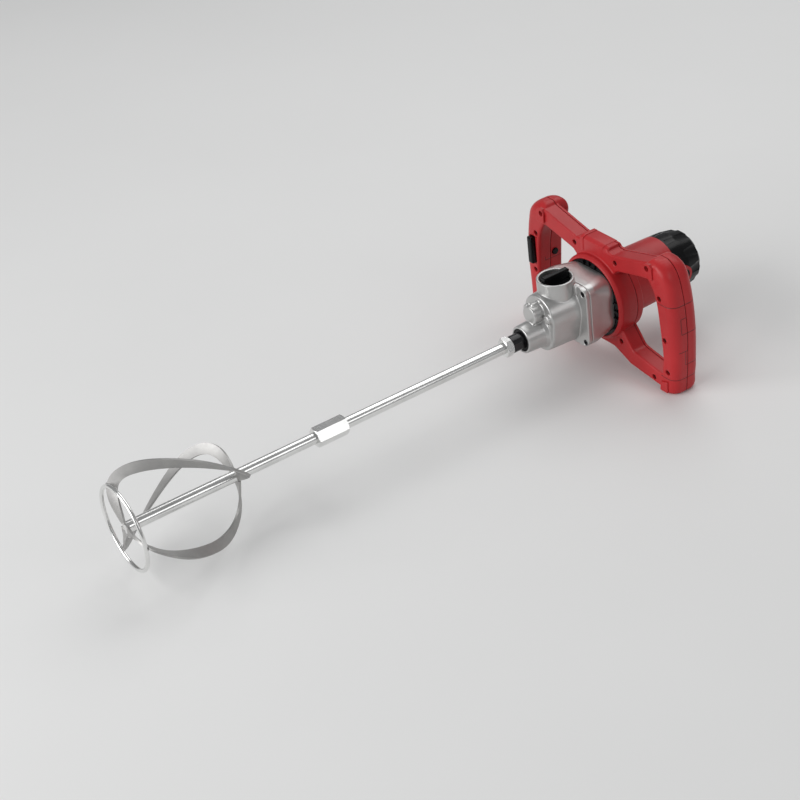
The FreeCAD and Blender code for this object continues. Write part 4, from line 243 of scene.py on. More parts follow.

# %% [markdown]
# Handling polishes the proud edges, and their lighter colour is partly a painted highlight. The mesh's
# own sharpness, called pointiness, picks them out on the dense soft-edged meshes, and noise breaks the
# line up so that it looks worn by hands.

# %% Group: worn edges with painted highlights
PATCH_SCALE = 160.0
PATCH_GAIN = 1.6
rubbed_edges, given, out = new_group(
    "rubbed_edges",
    [("Sharpness", "NodeSocketFloat"), ("Place", "NodeSocketVector"),
     ("Low", "NodeSocketFloat"), ("Gain", "NodeSocketFloat")],
    [("Mask", "NodeSocketFloat")])
# The mask marks proud edges for a lighter colour, partly wear and partly a painted highlight.
proud = calc(rubbed_edges, "SUBTRACT", given["Sharpness"], given["Low"])
edge = calc(rubbed_edges, "MULTIPLY", proud, given["Gain"], clamp=True)
patch = noise(rubbed_edges, given["Place"], PATCH_SCALE)
patch = calc(rubbed_edges, "MULTIPLY", patch, PATCH_GAIN, clamp=True)
rubbed_edges.links.new(calc(rubbed_edges, "MULTIPLY", edge, patch), out["Mask"])
print("rubbed_edges has", len(rubbed_edges.nodes), "nodes")


# %% [markdown]
# Every material starts the same way: a Principled shader and the object's own coordinates, so
# that a pattern stays put on its piece. A bump turns the groups' heights into surface detail.

# %% Helpers for materials
def new_material(name):
    """A material with its tree, its shader and the piece's own coordinates."""
    material = bpy.data.materials.new(name)
    material.use_nodes = True
    tree = material.node_tree
    place = tree.nodes.new("ShaderNodeTexCoord").outputs["Object"]
    return material, tree, tree.nodes["Principled BSDF"].inputs, place


def bumped(tree, shader, height, depth):
    """Feed a height in metres to the shader's normal."""
    bump = tree.nodes.new("ShaderNodeBump")
    bump.inputs["Strength"].default_value = 1.0
    bump.inputs["Distance"].default_value = depth
    tree.links.new(height, bump.inputs["Height"])
    tree.links.new(bump.outputs["Normal"], shader["Normal"])


def sharpness(tree):
    """How proud the surface is at each point."""
    return tree.nodes.new("ShaderNodeNewGeometry").outputs["Pointiness"]


finish = {}
print("material helpers ready")

# %% [markdown]
# The frame is moulded in a satin mid red. Its grips have thin panel joints round the outer side
# and a seam where the shells meet. They are drawn as strokes in the grip's own coordinates, which
# keeps them crisp, and the mask both darkens the colour and presses a groove into the bump.

# %% Material: red moulding
GROOVE = 0.5 * MM
SEAM = 0.3 * MM
GRIP_SIDE = 118.0 * MM
PANEL_ROWS = [(50.0, -21.0, 21.0), (33.0, -9.0, 0.0), (12.0, -9.0, 21.0), (-13.0, -13.0, 0.0),
              (-33.0, -3.5, 21.0), (-53.0, -21.0, 21.0)]
PANEL_JOGS = [(-9.0, 12.0, 33.0), (-3.5, -33.0, -13.0)]
RED_DARK = (0.38, 0.014, 0.017, 1)
RED_LIGHT = (0.48, 0.022, 0.026, 1)
# Lighter pink on proud edges, partly wear and partly a painted highlight.
RED_WORN_HIGHLIGHT = (0.55, 0.06, 0.065, 1)
RED_GROOVE = (0.07, 0.004, 0.005, 1)
RED_WORN_HIGHLIGHT_SHARE = 0.5
RED_GROOVE_SHARE = 0.85
RED_GRAIN_HEIGHT = 0.12
RED_BUMP = 0.25 * MM


def joined(tree, masks):
    """The strongest of several masks."""
    total = masks[0]
    for mask in masks[1:]:
        total = calc(tree, "MAXIMUM", total, mask)
    return total


def panel_joints(tree, place):
    """Mask of the seam and the panel joints on both grips."""
    split = tree.nodes.new("ShaderNodeSeparateXYZ")
    tree.links.new(place, split.inputs[0])
    x, y, z = split.outputs
    rows = [placed(tree, stroke, Across=z, Along=y, Centre=spot(0, 0, level).z,
                   Start=spot(0, start, 0).y, End=spot(0, end, 0).y, Half_Width=GROOVE)["Mask"]
            for level, start, end in PANEL_ROWS]
    jogs = [placed(tree, stroke, Across=y, Along=z, Centre=spot(0, along, 0).y,
                   Start=spot(0, 0, start).z, End=spot(0, 0, end).z, Half_Width=GROOVE)["Mask"]
            for along, start, end in PANEL_JOGS]
    outer = calc(tree, "GREATER_THAN", calc(tree, "ABSOLUTE", x), GRIP_SIDE)
    panels = calc(tree, "MULTIPLY", joined(tree, rows + jogs), outer)
    seam = placed(tree, stroke, Across=y, Along=z, Centre=SPLIT_Y, Start=0.0, End=1.0,
                  Half_Width=SEAM)["Mask"]
    return joined(tree, [panels, seam])


def red_moulding(name, with_joints):
    """Satin red plastic, with or without the grips' panel joints."""
    material, tree, shader, place = new_material(name)
    tone = placed(tree, tone_clouds, Place=place, Scale=11.0, Dark=RED_DARK, Light=RED_LIGHT)
    grain = placed(tree, fine_grain, Place=place, Scale=1900.0, Smooth=0.28, Rough=0.46)
    edge = placed(tree, rubbed_edges, Sharpness=sharpness(tree), Place=place, Low=0.53, Gain=9.0)["Mask"]
    # Proud edges are lightened towards a pink that is partly wear and partly a painted highlight.
    colour = mixed(tree, calc(tree, "MULTIPLY", edge, RED_WORN_HIGHLIGHT_SHARE), tone["Color"], RED_WORN_HIGHLIGHT)
    height = calc(tree, "MULTIPLY", grain["Height"], RED_GRAIN_HEIGHT)
    if with_joints:
        groove = panel_joints(tree, place)
        colour = mixed(tree, calc(tree, "MULTIPLY", groove, RED_GROOVE_SHARE), colour, RED_GROOVE)
        height = calc(tree, "SUBTRACT", height, groove)
    tree.links.new(colour, shader["Base Color"])
    tree.links.new(grain["Roughness"], shader["Roughness"])
    shader["Specular IOR Level"].default_value = 0.32
    bumped(tree, shader, height, RED_BUMP)
    return material


finish["red_plastic"] = red_moulding("red_moulding", False)
finish["red_shell"] = red_moulding("red_shell", True)
print("red moulding:", len(finish["red_shell"].node_tree.nodes), "nodes with panel joints")

# %% [markdown]
# The gearbox is a blasted aluminium casting: bright, satin, with a soft grain and slightly
# polished edges, whose near-white colour is partly a painted highlight. A thin stroke marks where its two
# halves are bolted together.

# %% Material: cast aluminium
FLANGE_JOINT_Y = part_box("bearing_plate")[0].y
FLANGE_JOINT = 0.16 * MM
CAST_DARK = (0.47, 0.467, 0.46, 1)
CAST_LIGHT = (0.58, 0.577, 0.57, 1)
# Near white on proud edges, partly polish and partly a painted highlight.
CAST_WORN_HIGHLIGHT = (0.82, 0.815, 0.80, 1)
CAST_JOINT = (0.12, 0.12, 0.12, 1)
CAST_JOINT_SHARE = 0.7
CAST_GRAIN_HEIGHT = 0.22
CAST_BUMP = 0.2 * MM


def cast_aluminium():
    """Satin silver casting with its parting line."""
    material, tree, shader, place = new_material("cast_aluminium")
    tone = placed(tree, tone_clouds, Place=place, Scale=16.0, Dark=CAST_DARK, Light=CAST_LIGHT)
    grain = placed(tree, fine_grain, Place=place, Scale=1100.0, Smooth=0.25, Rough=0.43)
    edge = placed(tree, rubbed_edges, Sharpness=sharpness(tree), Place=place, Low=0.53, Gain=8.0)["Mask"]
    split = tree.nodes.new("ShaderNodeSeparateXYZ")
    tree.links.new(place, split.inputs[0])
    joint = placed(tree, stroke, Across=split.outputs[1], Along=split.outputs[2], Centre=FLANGE_JOINT_Y,
                   Start=0.0, End=1.0, Half_Width=FLANGE_JOINT)["Mask"]
    # Proud edges are lightened to near white, partly polish and partly a painted highlight.
    colour = mixed(tree, edge, tone["Color"], CAST_WORN_HIGHLIGHT)
    colour = mixed(tree, calc(tree, "MULTIPLY", joint, CAST_JOINT_SHARE), colour, CAST_JOINT)
    tree.links.new(colour, shader["Base Color"])
    tree.links.new(grain["Roughness"], shader["Roughness"])
    shader["Metallic"].default_value = 0.84
    height = calc(tree, "MULTIPLY", grain["Height"], CAST_GRAIN_HEIGHT)
    bumped(tree, shader, calc(tree, "SUBTRACT", height, joint), CAST_BUMP)
    return material


finish["cast_aluminium"] = cast_aluminium()
print("cast aluminium:", len(finish["cast_aluminium"].node_tree.nodes), "nodes")

# %% [markdown]
# The other metals differ in colour, polish and the direction of their tool marks: rods are drawn
# along Y, turned pieces have rings, and the ribbons are sheared strip with a duller scale.

# %% Materials: bare metals
ALONG_Y = (2600.0, 9.0, 2600.0)
ROUND_Y = (60.0, 3200.0, 60.0)
ALL_WAYS = (420.0, 420.0, 420.0)
SHEETS = (40.0, 9000.0, 40.0)
STRANDS = (3000.0, 60.0, 3000.0)


def bare_metal(name, dark, light, smooth, rough, marks, depth):
    """Metal with clouds of tone and tool marks that run one way."""
    material, tree, shader, place = new_material(name)
    tone = placed(tree, tone_clouds, Place=place, Scale=24.0, Dark=(*dark, 1), Light=(*light, 1))
    mark = placed(tree, tool_marks, Place=place, Stretch=marks, Smooth=smooth, Rough=rough)
    tree.links.new(tone["Color"], shader["Base Color"])
    tree.links.new(mark["Roughness"], shader["Roughness"])
    shader["Metallic"].default_value = 1.0
    bumped(tree, shader, mark["Height"], depth)
    return material


# Each metal: darker and lighter colour, least and most roughness, tool marks and their depth
METALS = {
    "polished_steel": ((0.74, 0.74, 0.73), (0.86, 0.86, 0.85), 0.12, 0.28, ALONG_Y, 0.012 * MM),
    "ribbon_steel": ((0.38, 0.375, 0.37), (0.48, 0.475, 0.465), 0.42, 0.62, ALL_WAYS, 0.05 * MM),
    "machined_steel": ((0.50, 0.50, 0.51), (0.62, 0.62, 0.63), 0.18, 0.36, ROUND_Y, 0.012 * MM),
    "spring_steel": ((0.36, 0.36, 0.37), (0.48, 0.48, 0.49), 0.22, 0.40, ALL_WAYS, 0.01 * MM),
    "laminated_steel": ((0.18, 0.18, 0.19), (0.28, 0.28, 0.29), 0.35, 0.60, SHEETS, 0.05 * MM),
    "copper": ((0.58, 0.24, 0.12), (0.76, 0.38, 0.22), 0.22, 0.42, STRANDS, 0.03 * MM),
    "brass": ((0.60, 0.44, 0.18), (0.76, 0.58, 0.28), 0.18, 0.36, ALL_WAYS, 0.01 * MM),
    "dark_screw": ((0.03, 0.03, 0.032), (0.07, 0.07, 0.075), 0.28, 0.50, ROUND_Y, 0.01 * MM),
}
for metal, values in METALS.items():
    finish[metal] = bare_metal(metal, *values)
print("bare metals:", ", ".join(METALS))

# %% [markdown]
# Black pieces are told apart by their gloss: moulded plastic has a soft sheen, the spindle a
# tight oxide shine, rubber and carbon almost none. Their colour is never quite black.

# %% Materials: black pieces
def black_piece(name, dark, light, smooth, rough, scale, depth, specular):
    """Near-black piece with a fine grain."""
    material, tree, shader, place = new_material(name)
    tone = placed(tree, tone_clouds, Place=place, Scale=18.0, Dark=(*dark, 1), Light=(*light, 1))
    grain = placed(tree, fine_grain, Place=place, Scale=scale, Smooth=smooth, Rough=rough)
    tree.links.new(tone["Color"], shader["Base Color"])
    tree.links.new(grain["Roughness"], shader["Roughness"])
    shader["Specular IOR Level"].default_value = specular
    bumped(tree, shader, grain["Height"], depth)
    return material


# Each piece: darker and lighter colour, least and most roughness, grain and its depth, specular level
BLACKS = {
    "black_plastic": ((0.003, 0.003, 0.0035), (0.006, 0.006, 0.007), 0.14, 0.30, 1700.0, 0.03 * MM, 0.2),
    "black_steel": ((0.004, 0.004, 0.0045), (0.010, 0.010, 0.011), 0.12, 0.28, 900.0, 0.012 * MM, 0.4),
    "black_rubber": ((0.012, 0.012, 0.012), (0.022, 0.022, 0.022), 0.60, 0.85, 1300.0, 0.06 * MM, 0.35),
    "carbon": ((0.016, 0.016, 0.017), (0.032, 0.032, 0.034), 0.55, 0.80, 2200.0, 0.05 * MM, 0.35),
}
for piece, values in BLACKS.items():
    finish[piece] = black_piece(piece, *values)
print("black pieces have", len(finish["black_plastic"].node_tree.nodes), "nodes each")

# %% [markdown]
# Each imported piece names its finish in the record, so one loop dresses them all.

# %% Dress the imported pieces
def dress(obj, material):
    """Give an object one material."""
    obj.data.materials.clear()
    obj.data.materials.append(material)


slot_of = {row["node"]: row["material_slot"] for row in frame["record"]["subparts"]}
body_of = {name: body for body, names in frame["record"]["behaviour"]["bodies"].items() for name in names}
for name, obj in nodes.items():
    dress(obj, finish[slot_of[name]])
print("dressed", len(nodes), "packed pieces with", len(set(slot_of.values())), "finishes")


# %% [markdown]
# Castings and mouldings have no sharp corners: metal and plastic only fill a die with rounded
# edges and filleted roots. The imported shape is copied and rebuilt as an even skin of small
# squares, which a smoothing pass then rounds over everywhere, inside corners too. A last pass
# thins the flat areas, so the piece stays light.

# %% Soft-edged castings and shells
def evaluated_copy(obj, name):
    """A plain mesh of an object with its modifiers applied; the object itself is removed."""
    graph = bpy.context.evaluated_depsgraph_get()
    mesh = bpy.data.meshes.new_from_object(obj.evaluated_get(graph))
    bpy.data.objects.remove(obj)
    piece = bpy.data.objects.new(name, mesh)
    bpy.context.scene.collection.objects.link(piece)
    return piece


SAME_POINT = 0.002 * MM


def softened(name, skin, passes, most, material):
    """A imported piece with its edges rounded, in its place."""
    mesh = nodes[name].data.copy()
    work = bmesh.new()
    work.from_mesh(mesh)
    bmesh.ops.remove_doubles(work, verts=work.verts, dist=SAME_POINT)
    work.to_mesh(mesh)
    work.free()
    rough_piece = bpy.data.objects.new("work", mesh)
    bpy.context.scene.collection.objects.link(rough_piece)
    remesh = rough_piece.modifiers.new("skin", "REMESH")
    remesh.mode = "VOXEL"
    remesh.voxel_size = skin
    remesh.use_smooth_shade = True
    smooth = rough_piece.modifiers.new("round", "SMOOTH")
    smooth.factor = 0.5
    smooth.iterations = passes
    piece = evaluated_copy(rough_piece, name + "_cast")
    triangles = sum(len(face.vertices) - 2 for face in piece.data.polygons)
    if triangles > most:
        thin = piece.modifiers.new("thin", "DECIMATE")
        thin.ratio = most / triangles
        piece = evaluated_copy(piece, name + "_cast")
    piece.data.shade_smooth()
    dress(piece, material)
    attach(piece, body_of[name])
    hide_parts(name)
    print(piece.name, "has", len(piece.data.polygons), "faces")


SKIN = 0.8 * MM
# Each piece: skin size, smoothing passes, most triangles, finish
SOFT_EDGED = {
    "gear_housing_front": (SKIN * 0.85, 4, 170000, "cast_aluminium"),
    "gear_housing_rear": (SKIN * 0.85, 4, 150000, "cast_aluminium"),
    "handle_front_shell": (SKIN, 6, 190000, "red_shell"),
    "handle_rear_shell": (SKIN, 6, 120000, "red_shell"),
    "grip_rear_cover_left": (SKIN, 6, 120000, "red_shell"),
    "grip_rear_cover_right": (SKIN, 6, 120000, "red_shell"),
    "trigger": (SKIN * 0.6, 16, 40000, "black_plastic"),
}
for name, (skin, passes, most, coat) in SOFT_EDGED.items():
    softened(name, skin, passes, most, finish[coat])

# %% [markdown]
# Behind the trigger, a coil spring pushes it back out. Pulling the trigger squeezes the coil
# against the switch. A copy of the imported spring takes its place, with a mesh of its own.

# %% Return spring
spring = bpy.data.objects.new("return_spring", nodes["trigger_spring"].data.copy())
bpy.context.scene.collection.objects.link(spring)
dress(spring, finish["spring_steel"])
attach(spring, "tool_body")
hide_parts("trigger_spring")
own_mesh(spring)

# %% [markdown]
# Small mouldings on the frame, such as the flat pads round the ears' screws, are plates with
# rounded edges and a hole. A flat filled curve with a bevel makes a plate and its holes in one.

# %% Helper: plates
HOLE_STEPS = 28


def plate(name, outline, holes, front, back, edge, material, body):
    """A plate across the tool's axis: outline in x and z, holes as x, z and radius, in millimetres."""
    curve = bpy.data.curves.new(name, "CURVE")
    curve.dimensions = "2D"
    curve.fill_mode = "BOTH"
    thickness = (back - front) * MM
    curve.extrude = thickness / 2 - edge * MM
    curve.bevel_depth = edge * MM
    curve.bevel_resolution = 3
    curve.offset = -edge * MM
    around = [math.tau * i / HOLE_STEPS for i in range(HOLE_STEPS)]
    rings = [outline] + [[(x + r * math.cos(a), z + r * math.sin(a)) for a in around] for x, z, r in holes]
    for ring in rings:
        spline = curve.splines.new("POLY")
        spline.points.add(len(ring) - 1)
        spline.use_cyclic_u = True
        for point, (x, z) in zip(spline.points, ring):
            point.co = (x * MM, z * MM, 0, 1)
    drawn = bpy.data.objects.new(name, curve)
    bpy.context.scene.collection.objects.link(drawn)
    piece = evaluated_copy(drawn, name)
    middle = spot(0, (front + back) / 2, 0)
    piece.data.transform(Matrix.Translation(middle) @ Matrix.Rotation(math.pi / 2, 4, "X"))
    piece.data.shade_smooth()
    dress(piece, material)
    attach(piece, body)


def rounded_outline(corners, radius, steps=5):
    """A polygon's corners with each corner rounded."""
    ring = []
    count = len(corners)
    for i in range(count):
        here = Vector(corners[i])
        to_last = (Vector(corners[i - 1]) - here).normalized()
        to_next = (Vector(corners[(i + 1) % count]) - here).normalized()
        half = to_last.angle(to_next) / 2
        reach = radius / math.tan(half)
        centre = here + (to_last + to_next).normalized() * (radius / math.sin(half))
        first = here + to_last * reach - centre
        last = here + to_next * reach - centre
        turn = first.angle_signed(last)
        for k in range(steps + 1):
            angle = -turn * k / steps
            ring.append(tuple(centre + Matrix.Rotation(angle, 2) @ first))
    return ring


def mirrored_outline(ring):
    """The same outline on the tool's other side."""
    return [(-x, z) for x, z in reversed(ring)]


print("plate helper ready")

# %% [markdown]
# The photograph shows a flat pad round the screw of each ear and another on the front of each
# foot. They stand a little proud of the rounded grip and catch the light as plain facets.

# %% Ear and foot pads
EAR_SCREW_X, EAR_SCREW_Z, EAR_HOLE_RADIUS = 102.0, 92.0, 3.7
EAR_CORNERS = [(97.2, 79.0), (112.0, 79.0), (111.0, 94.0), (106.5, 98.6), (99.5, 98.4), (96.4, 93.0)]
FOOT_CORNERS = [(117.6, -73.0), (131.0, -73.0), (131.0, -57.0), (118.6, -60.5)]
EAR_FRONT, EAR_BACK = -22.8, -16.0
FOOT_FRONT, FOOT_BACK = -22.4, -17.0
EAR_ROUND, FOOT_ROUND = 1.8, 1.2
PAD_EDGE = 0.5
ear = rounded_outline(EAR_CORNERS, EAR_ROUND)
foot = rounded_outline(FOOT_CORNERS, FOOT_ROUND)
red = finish["red_plastic"]
for side, sign, flip in (("right", 1, list), ("left", -1, mirrored_outline)):
    hole = (sign * EAR_SCREW_X, EAR_SCREW_Z, EAR_HOLE_RADIUS)
    plate("ear_pad_" + side, flip(ear), [hole], EAR_FRONT, EAR_BACK, PAD_EDGE, red, "tool_body")
    plate("foot_pad_" + side, flip(foot), [], FOOT_FRONT, FOOT_BACK, PAD_EDGE, red, "tool_body")
print("pads on both grips")

# %% [markdown]
# The saddle on top of the frame is made of a lip at one end and a cover over the rest. Both
# follow the block below them, so one outline in y and z is pushed along x and its edges rounded.

# %% Saddle lip and cover
def band(name, outline, x_from, x_to, edge, material, body):
    """An outline in y and z, in millimetres, pushed along x, with rounded edges."""
    work = bmesh.new()
    ring = [work.verts.new(spot(x_from, y, z)) for y, z in outline]
    face = work.faces.new(ring)
    pushed = bmesh.ops.extrude_face_region(work, geom=[face])["geom"]
    moved = [v for v in pushed if isinstance(v, bmesh.types.BMVert)]
    bmesh.ops.translate(work, verts=moved, vec=((x_to - x_from) * MM, 0, 0))
    bmesh.ops.recalc_face_normals(work, faces=work.faces)
    bmesh.ops.bevel(work, geom=work.edges[:], offset=edge * MM, segments=3, profile=0.5, affect="EDGES")
    mesh = bpy.data.meshes.new(name)
    work.to_mesh(mesh)
    work.free()
    piece = bpy.data.objects.new(name, mesh)
    bpy.context.scene.collection.objects.link(piece)
    piece.data.shade_smooth()
    dress(piece, material)
    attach(piece, body)


SADDLE_FRONT, SADDLE_BACK, SADDLE_TOP = -19.5, 5.5, 88.5


def saddle_line(proud):
    """The saddle's outline, a little larger than the block it covers."""
    front = SADDLE_FRONT - proud
    back = SADDLE_BACK + proud
    top = SADDLE_TOP + proud
    return [(front, 68.0), (front, 86.2 + proud), (-14.6, top), (2.9, top), (back, 83.5 + proud),
            (back, 70.0), (-6.0, 66.0)]


LIP_LEFT, LIP_RIGHT, LIP_PROUD = -26.2, -20.4, 0.9
COVER_LEFT, COVER_RIGHT, COVER_PROUD = -19.6, 17.5, 0.6
SADDLE_EDGE = 0.6
band("saddle_lip", saddle_line(LIP_PROUD), LIP_LEFT, LIP_RIGHT, SADDLE_EDGE, red, "tool_body")
band("saddle_cover", saddle_line(COVER_PROUD), COVER_LEFT, COVER_RIGHT, SADDLE_EDGE, red, "tool_body")
print("saddle in two pieces")

# %% [markdown]
# On the gearbox, a short bracket joins the selector's collar to the flange, as part of the casting.

# %% Bracket
BRACKET_LINE = [(-73.0, 44.0), (-73.0, 56.4), (-65.2, 57.4), (-65.2, 44.0)]
BRACKET_LEFT, BRACKET_RIGHT, BRACKET_EDGE = 15.0, 27.0, 1.0
band("collar_bracket", BRACKET_LINE, BRACKET_LEFT, BRACKET_RIGHT, BRACKET_EDGE,
     finish["cast_aluminium"], "tool_body")
print("bracket on the gearbox")


# %% [markdown]
# Behind the gearbox, the fan draws air through a dark ring of short vanes. They repeat round the
# motor's axis, so Geometry Nodes make them: a circle of points, one box at each, turned outwards.
# The points near the casting's four corners are left out, where there is no room.

# %% Helpers for geometry trees
def new_geometry(name, inputs):
    """An empty geometry tree with named inputs, with its input sockets and its output socket."""
    tree = bpy.data.node_groups.new(name, "GeometryNodeTree")
    tree.interface.new_socket("Geometry", in_out="INPUT", socket_type="NodeSocketGeometry")
    for label, kind in inputs:
        tree.interface.new_socket(label, in_out="INPUT", socket_type=kind)
    tree.interface.new_socket("Geometry", in_out="OUTPUT", socket_type="NodeSocketGeometry")
    return tree, tree.nodes.new("NodeGroupInput").outputs, tree.nodes.new("NodeGroupOutput").inputs[0]


def step(tree, kind, **inputs):
    """Place a node, feed its named sockets and return its first output."""
    made = tree.nodes.new(kind)
    for label, value in inputs.items():
        feed(tree, made.inputs[label.replace("_", " ")], value)
    return made.outputs[0]


def grown(name, tree, base, material, **inputs):
    """Run a tree on a base mesh and keep the result as a plain mesh."""
    obj = bpy.data.objects.new(name, base)
    bpy.context.scene.collection.objects.link(obj)
    modifier = obj.modifiers.new("grow", "NODES")
    modifier.node_group = tree
    inputs["Finish"] = material
    for item in tree.interface.items_tree:
        label = item.name.replace(" ", "_")
        if item.in_out == "INPUT" and label in inputs:
            modifier[item.identifier] = inputs[label]
    piece = evaluated_copy(obj, name)
    print(name, "has", len(piece.data.polygons), "faces")
    return piece


# %% Vent vanes
vane_tree, given, grown_out = new_geometry("vent_vanes", [
    ("Count", "NodeSocketInt"), ("Radius", "NodeSocketFloat"), ("Size", "NodeSocketVector"),
    ("Corner Limit", "NodeSocketFloat"), ("Finish", "NodeSocketMaterial")])
ring = step(vane_tree, "GeometryNodeMeshCircle", Vertices=given["Count"], Radius=given["Radius"])
vane = step(vane_tree, "GeometryNodeMeshCube", Size=given["Size"])
where = vane_tree.nodes.new("GeometryNodeInputPosition").outputs[0]
split = vane_tree.nodes.new("ShaderNodeSeparateXYZ")
vane_tree.links.new(where, split.inputs[0])
product = calc(vane_tree, "ABSOLUTE", calc(vane_tree, "MULTIPLY", split.outputs[0], split.outputs[1]))
cornered = calc(vane_tree, "DIVIDE", product, calc(vane_tree, "POWER", given["Radius"], 2.0))
room = calc(vane_tree, "LESS_THAN", cornered, given["Corner Limit"])
outward = vane_tree.nodes.new("FunctionNodeAlignRotationToVector")
outward.axis = "X"
vane_tree.links.new(where, outward.inputs["Vector"])
spread = step(vane_tree, "GeometryNodeInstanceOnPoints", Points=ring, Instance=vane, Selection=room,
              Rotation=outward.outputs[0])
real = step(vane_tree, "GeometryNodeRealizeInstances", Geometry=spread)
coated = step(vane_tree, "GeometryNodeSetMaterial", Geometry=real, Material=given["Finish"])
vane_tree.links.new(coated, grown_out)
VANE_COUNT = 28
VANE_RADIUS = 48.2 * MM
VANE_SIZE = (5.6 * MM, 1.5 * MM, 2.6 * MM)
VANE_SET_FORWARD = 1.2 * MM
CORNER_LIMIT = 0.3
baffle_low, baffle_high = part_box("air_baffle")
vanes = grown("vent_vanes", vane_tree, bpy.data.meshes.new("vanes"), finish["black_plastic"],
              Count=VANE_COUNT, Radius=VANE_RADIUS, Size=VANE_SIZE, Corner_Limit=CORNER_LIMIT)
hub = Vector((0, baffle_low.y - VANE_SET_FORWARD, (baffle_low.z + baffle_high.z) / 2))
vanes.data.transform(Matrix.Translation(hub) @ Matrix.Rotation(math.pi / 2, 4, "X"))
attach(vanes, "tool_body")

# %% [markdown]
# The ribbons are welded to the rod and the ring. A weld is a row of overlapping beads, so the
# places where a ribbon touches are found in its mesh, and Geometry Nodes lay beads along each.

# %% Weld beads
WELD_REACH = 0.3 * MM
TIP_ROOM = 1.6 * MM
BEAD_SPACING = 1.3 * MM
BEAD_RADIUS = 1.3 * MM
BEAD_LEAST, BEAD_MOST = 0.8, 1.15
BEAD_SEED = 7
MOST_POINTS = 400
# Places of a random value node's sockets when it draws numbers
DRAW_LEAST, DRAW_MOST, DRAW_RESULT = 2, 3, 1


def longest(points):
    """The two points of a cluster that lie farthest apart."""
    pairs = ((a, b) for a in points for b in points)
    return max(pairs, key=lambda pair: (pair[0] - pair[1]).length)


def touches(name, reach, measure, along):
    """Ends of the line where a ribbon comes within reach of what carries it."""
    near = [v.co.copy() for v in nodes[name].data.vertices if measure(v.co) < reach and along(v.co)]
    return longest(near[:MOST_POINTS]) if len(near) > 1 else None


ring_low, ring_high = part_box("stirrer_ring")
ring_y = (ring_low.y + ring_high.y) / 2
ring_r = (ring_high.x - ring_low.x - (ring_high.y - ring_low.y)) / 2
wire_r = (ring_high.y - ring_low.y) / 2
rod_r = (rod_high.x - rod_low.x) / 2
basket_middle = (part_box("stirrer_blade_1")[0].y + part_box("stirrer_blade_1")[1].y) / 2


def from_axis(p):
    """Distance from the spindle's axis."""
    return math.hypot(p.x, p.z - SPINDLE_Z)


def from_ring(p):
    """Distance from the ring's middle line."""
    return math.hypot(from_axis(p) - ring_r, p.y - ring_y)


seams = []
for index in (1, 2, 3):
    name = "stirrer_blade_%d" % index
    seams.append(touches(name, rod_r + WELD_REACH, from_axis, lambda p: p.y > basket_middle))
    seams.append(touches(name, rod_r + WELD_REACH, from_axis, lambda p: p.y < basket_middle))
    seams.append(touches(name, wire_r + WELD_REACH, from_ring, lambda p: True))
tip_y = cad_low.y + TIP_ROOM
seams = [[Vector((p.x, max(p.y, tip_y), p.z)) for p in pair] for pair in seams if pair]
paths = bpy.data.meshes.new("seams")
ends = [p for pair in seams for p in pair]
paths.from_pydata(ends, [(2 * i, 2 * i + 1) for i in range(len(seams))], [])
bead_tree, given, grown_out = new_geometry("weld_beads", [
    ("Spacing", "NodeSocketFloat"), ("Bead Radius", "NodeSocketFloat"), ("Finish", "NodeSocketMaterial")])
lines = step(bead_tree, "GeometryNodeMeshToCurve", Mesh=given["Geometry"])
resample = bead_tree.nodes.new("GeometryNodeResampleCurve")
resample.mode = "LENGTH"
bead_tree.links.new(lines, resample.inputs["Curve"])
bead_tree.links.new(given["Spacing"], resample.inputs["Length"])
ball = step(bead_tree, "GeometryNodeMeshIcoSphere", Radius=given["Bead Radius"], Subdivisions=3)
vary = bead_tree.nodes.new("FunctionNodeRandomValue")
vary.data_type = "FLOAT"
vary.inputs[DRAW_LEAST].default_value = BEAD_LEAST
vary.inputs[DRAW_MOST].default_value = BEAD_MOST
vary.inputs["Seed"].default_value = BEAD_SEED
beads = step(bead_tree, "GeometryNodeInstanceOnPoints", Points=resample.outputs[0], Instance=ball,
             Scale=vary.outputs[DRAW_RESULT])
real = step(bead_tree, "GeometryNodeRealizeInstances", Geometry=beads)
coated = step(bead_tree, "GeometryNodeSetMaterial", Geometry=real, Material=given["Finish"])
bead_tree.links.new(coated, grown_out)
welds = grown("weld_beads", bead_tree, paths, finish["ribbon_steel"],
              Spacing=BEAD_SPACING, Bead_Radius=BEAD_RADIUS)
welds.data.shade_smooth()
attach(welds, "spindle")
print("welds on", len(seams), "seams")

# %% [markdown]
# The camera stands where the photograph's stood: to the right of the stirrer, above it, with a
# long lens and a slight roll. Its three directions are written out, so nothing has to be aimed.

# %% Camera
RIGHT = Vector((0.56359, 0.81809, -0.11441))
UP = Vector((-0.39607, 0.38916, 0.83168))
BACK = Vector((0.72491, -0.42341, 0.54335))
STAND = (1613.4, -1267.3, 1206.0)
LENS = 83.95
camera = bpy.data.objects.new("camera", bpy.data.cameras.new("camera"))
bpy.context.scene.collection.objects.link(camera)
turn = Matrix((RIGHT, UP, BACK)).transposed().to_4x4()
camera.matrix_world = Matrix.Translation(spot(*STAND)) @ turn
camera.data.sensor_width = 36.0
camera.data.lens = LENS
camera.data.clip_end = 100.0
bpy.context.scene.camera = camera
print("camera at", tuple(round(v, 3) for v in camera.location))

# %% [markdown]
# A pale floor with no visible edge carries the tool and its shadow.

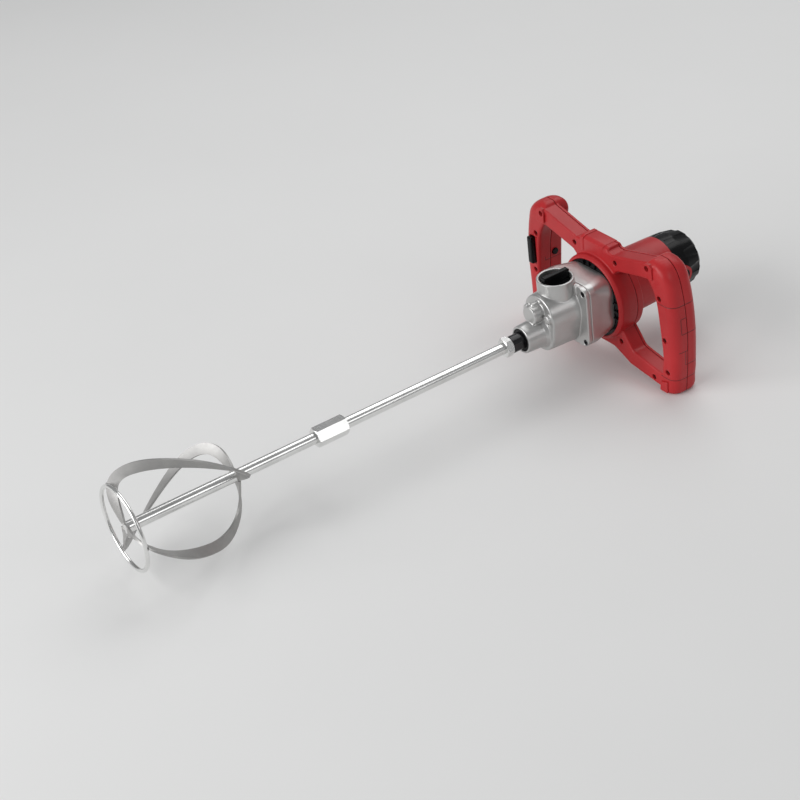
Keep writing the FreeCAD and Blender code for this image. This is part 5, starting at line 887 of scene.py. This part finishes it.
# %% Floor
HALF = 9.0
PAPER_DARK = (0.78, 0.78, 0.775, 1)
PAPER_LIGHT = (0.80, 0.80, 0.795, 1)
floor_mesh = bpy.data.meshes.new("floor")
corners = [(-HALF, -HALF, 0), (HALF, -HALF, 0), (HALF, HALF, 0), (-HALF, HALF, 0)]
floor_mesh.from_pydata(corners, [], [(0, 1, 2, 3)])
floor = bpy.data.objects.new("floor", floor_mesh)
bpy.context.scene.collection.objects.link(floor)
paper, tree, shader, place = new_material("floor_paper")
tone = placed(tree, tone_clouds, Place=place, Scale=1.5, Dark=PAPER_DARK, Light=PAPER_LIGHT)
tree.links.new(tone["Color"], shader["Base Color"])
shader["Roughness"].default_value = 0.7
dress(floor, paper)
print("floor is %.0f m wide" % (2 * HALF))

# %% [markdown]
# Light comes from large soft panels, as in a product studio: a key in front of the stirrer that
# draws the bright faces, a weaker fill on the right, and a wide one behind that tops the metal.

# %% Light
def panel(name, where, aim, width, height, watts):
    """A rectangular soft light that faces a point."""
    lamp = bpy.data.lights.new(name, "AREA")
    lamp.shape = "RECTANGLE"
    lamp.size = width
    lamp.size_y = height
    lamp.energy = watts
    obj = bpy.data.objects.new(name, lamp)
    bpy.context.scene.collection.objects.link(obj)
    obj.location = where
    obj.rotation_euler = (Vector(aim) - Vector(where)).to_track_quat("-Z", "Y").to_euler()


# Each panel: its place, the point it faces, width, height and watts
PANELS = {
    "key": ((-0.5, -3.0, 1.6), (0, 0, 0.1), 3.2, 2.2, 92.0),
    "fill": ((2.6, 0.6, 1.6), (0, 0.1, 0.1), 1.6, 1.2, 9.0),
    "top": ((-0.7, 1.5, 2.2), (0, 0.1, 0.1), 2.6, 1.7, 26.0),
}
SKY_COLOUR = (0.86, 0.87, 0.88, 1)
SKY_STRENGTH = 0.33
for name, values in PANELS.items():
    panel(name, *values)
world = bpy.data.worlds.new("studio")
world.use_nodes = True
bpy.context.scene.world = world
sky = world.node_tree.nodes["Background"].inputs
sky["Color"].default_value = SKY_COLOUR
sky["Strength"].default_value = SKY_STRENGTH
bpy.context.scene.view_settings.view_transform = "Standard"
print(len(PANELS), "panels and an even sky")
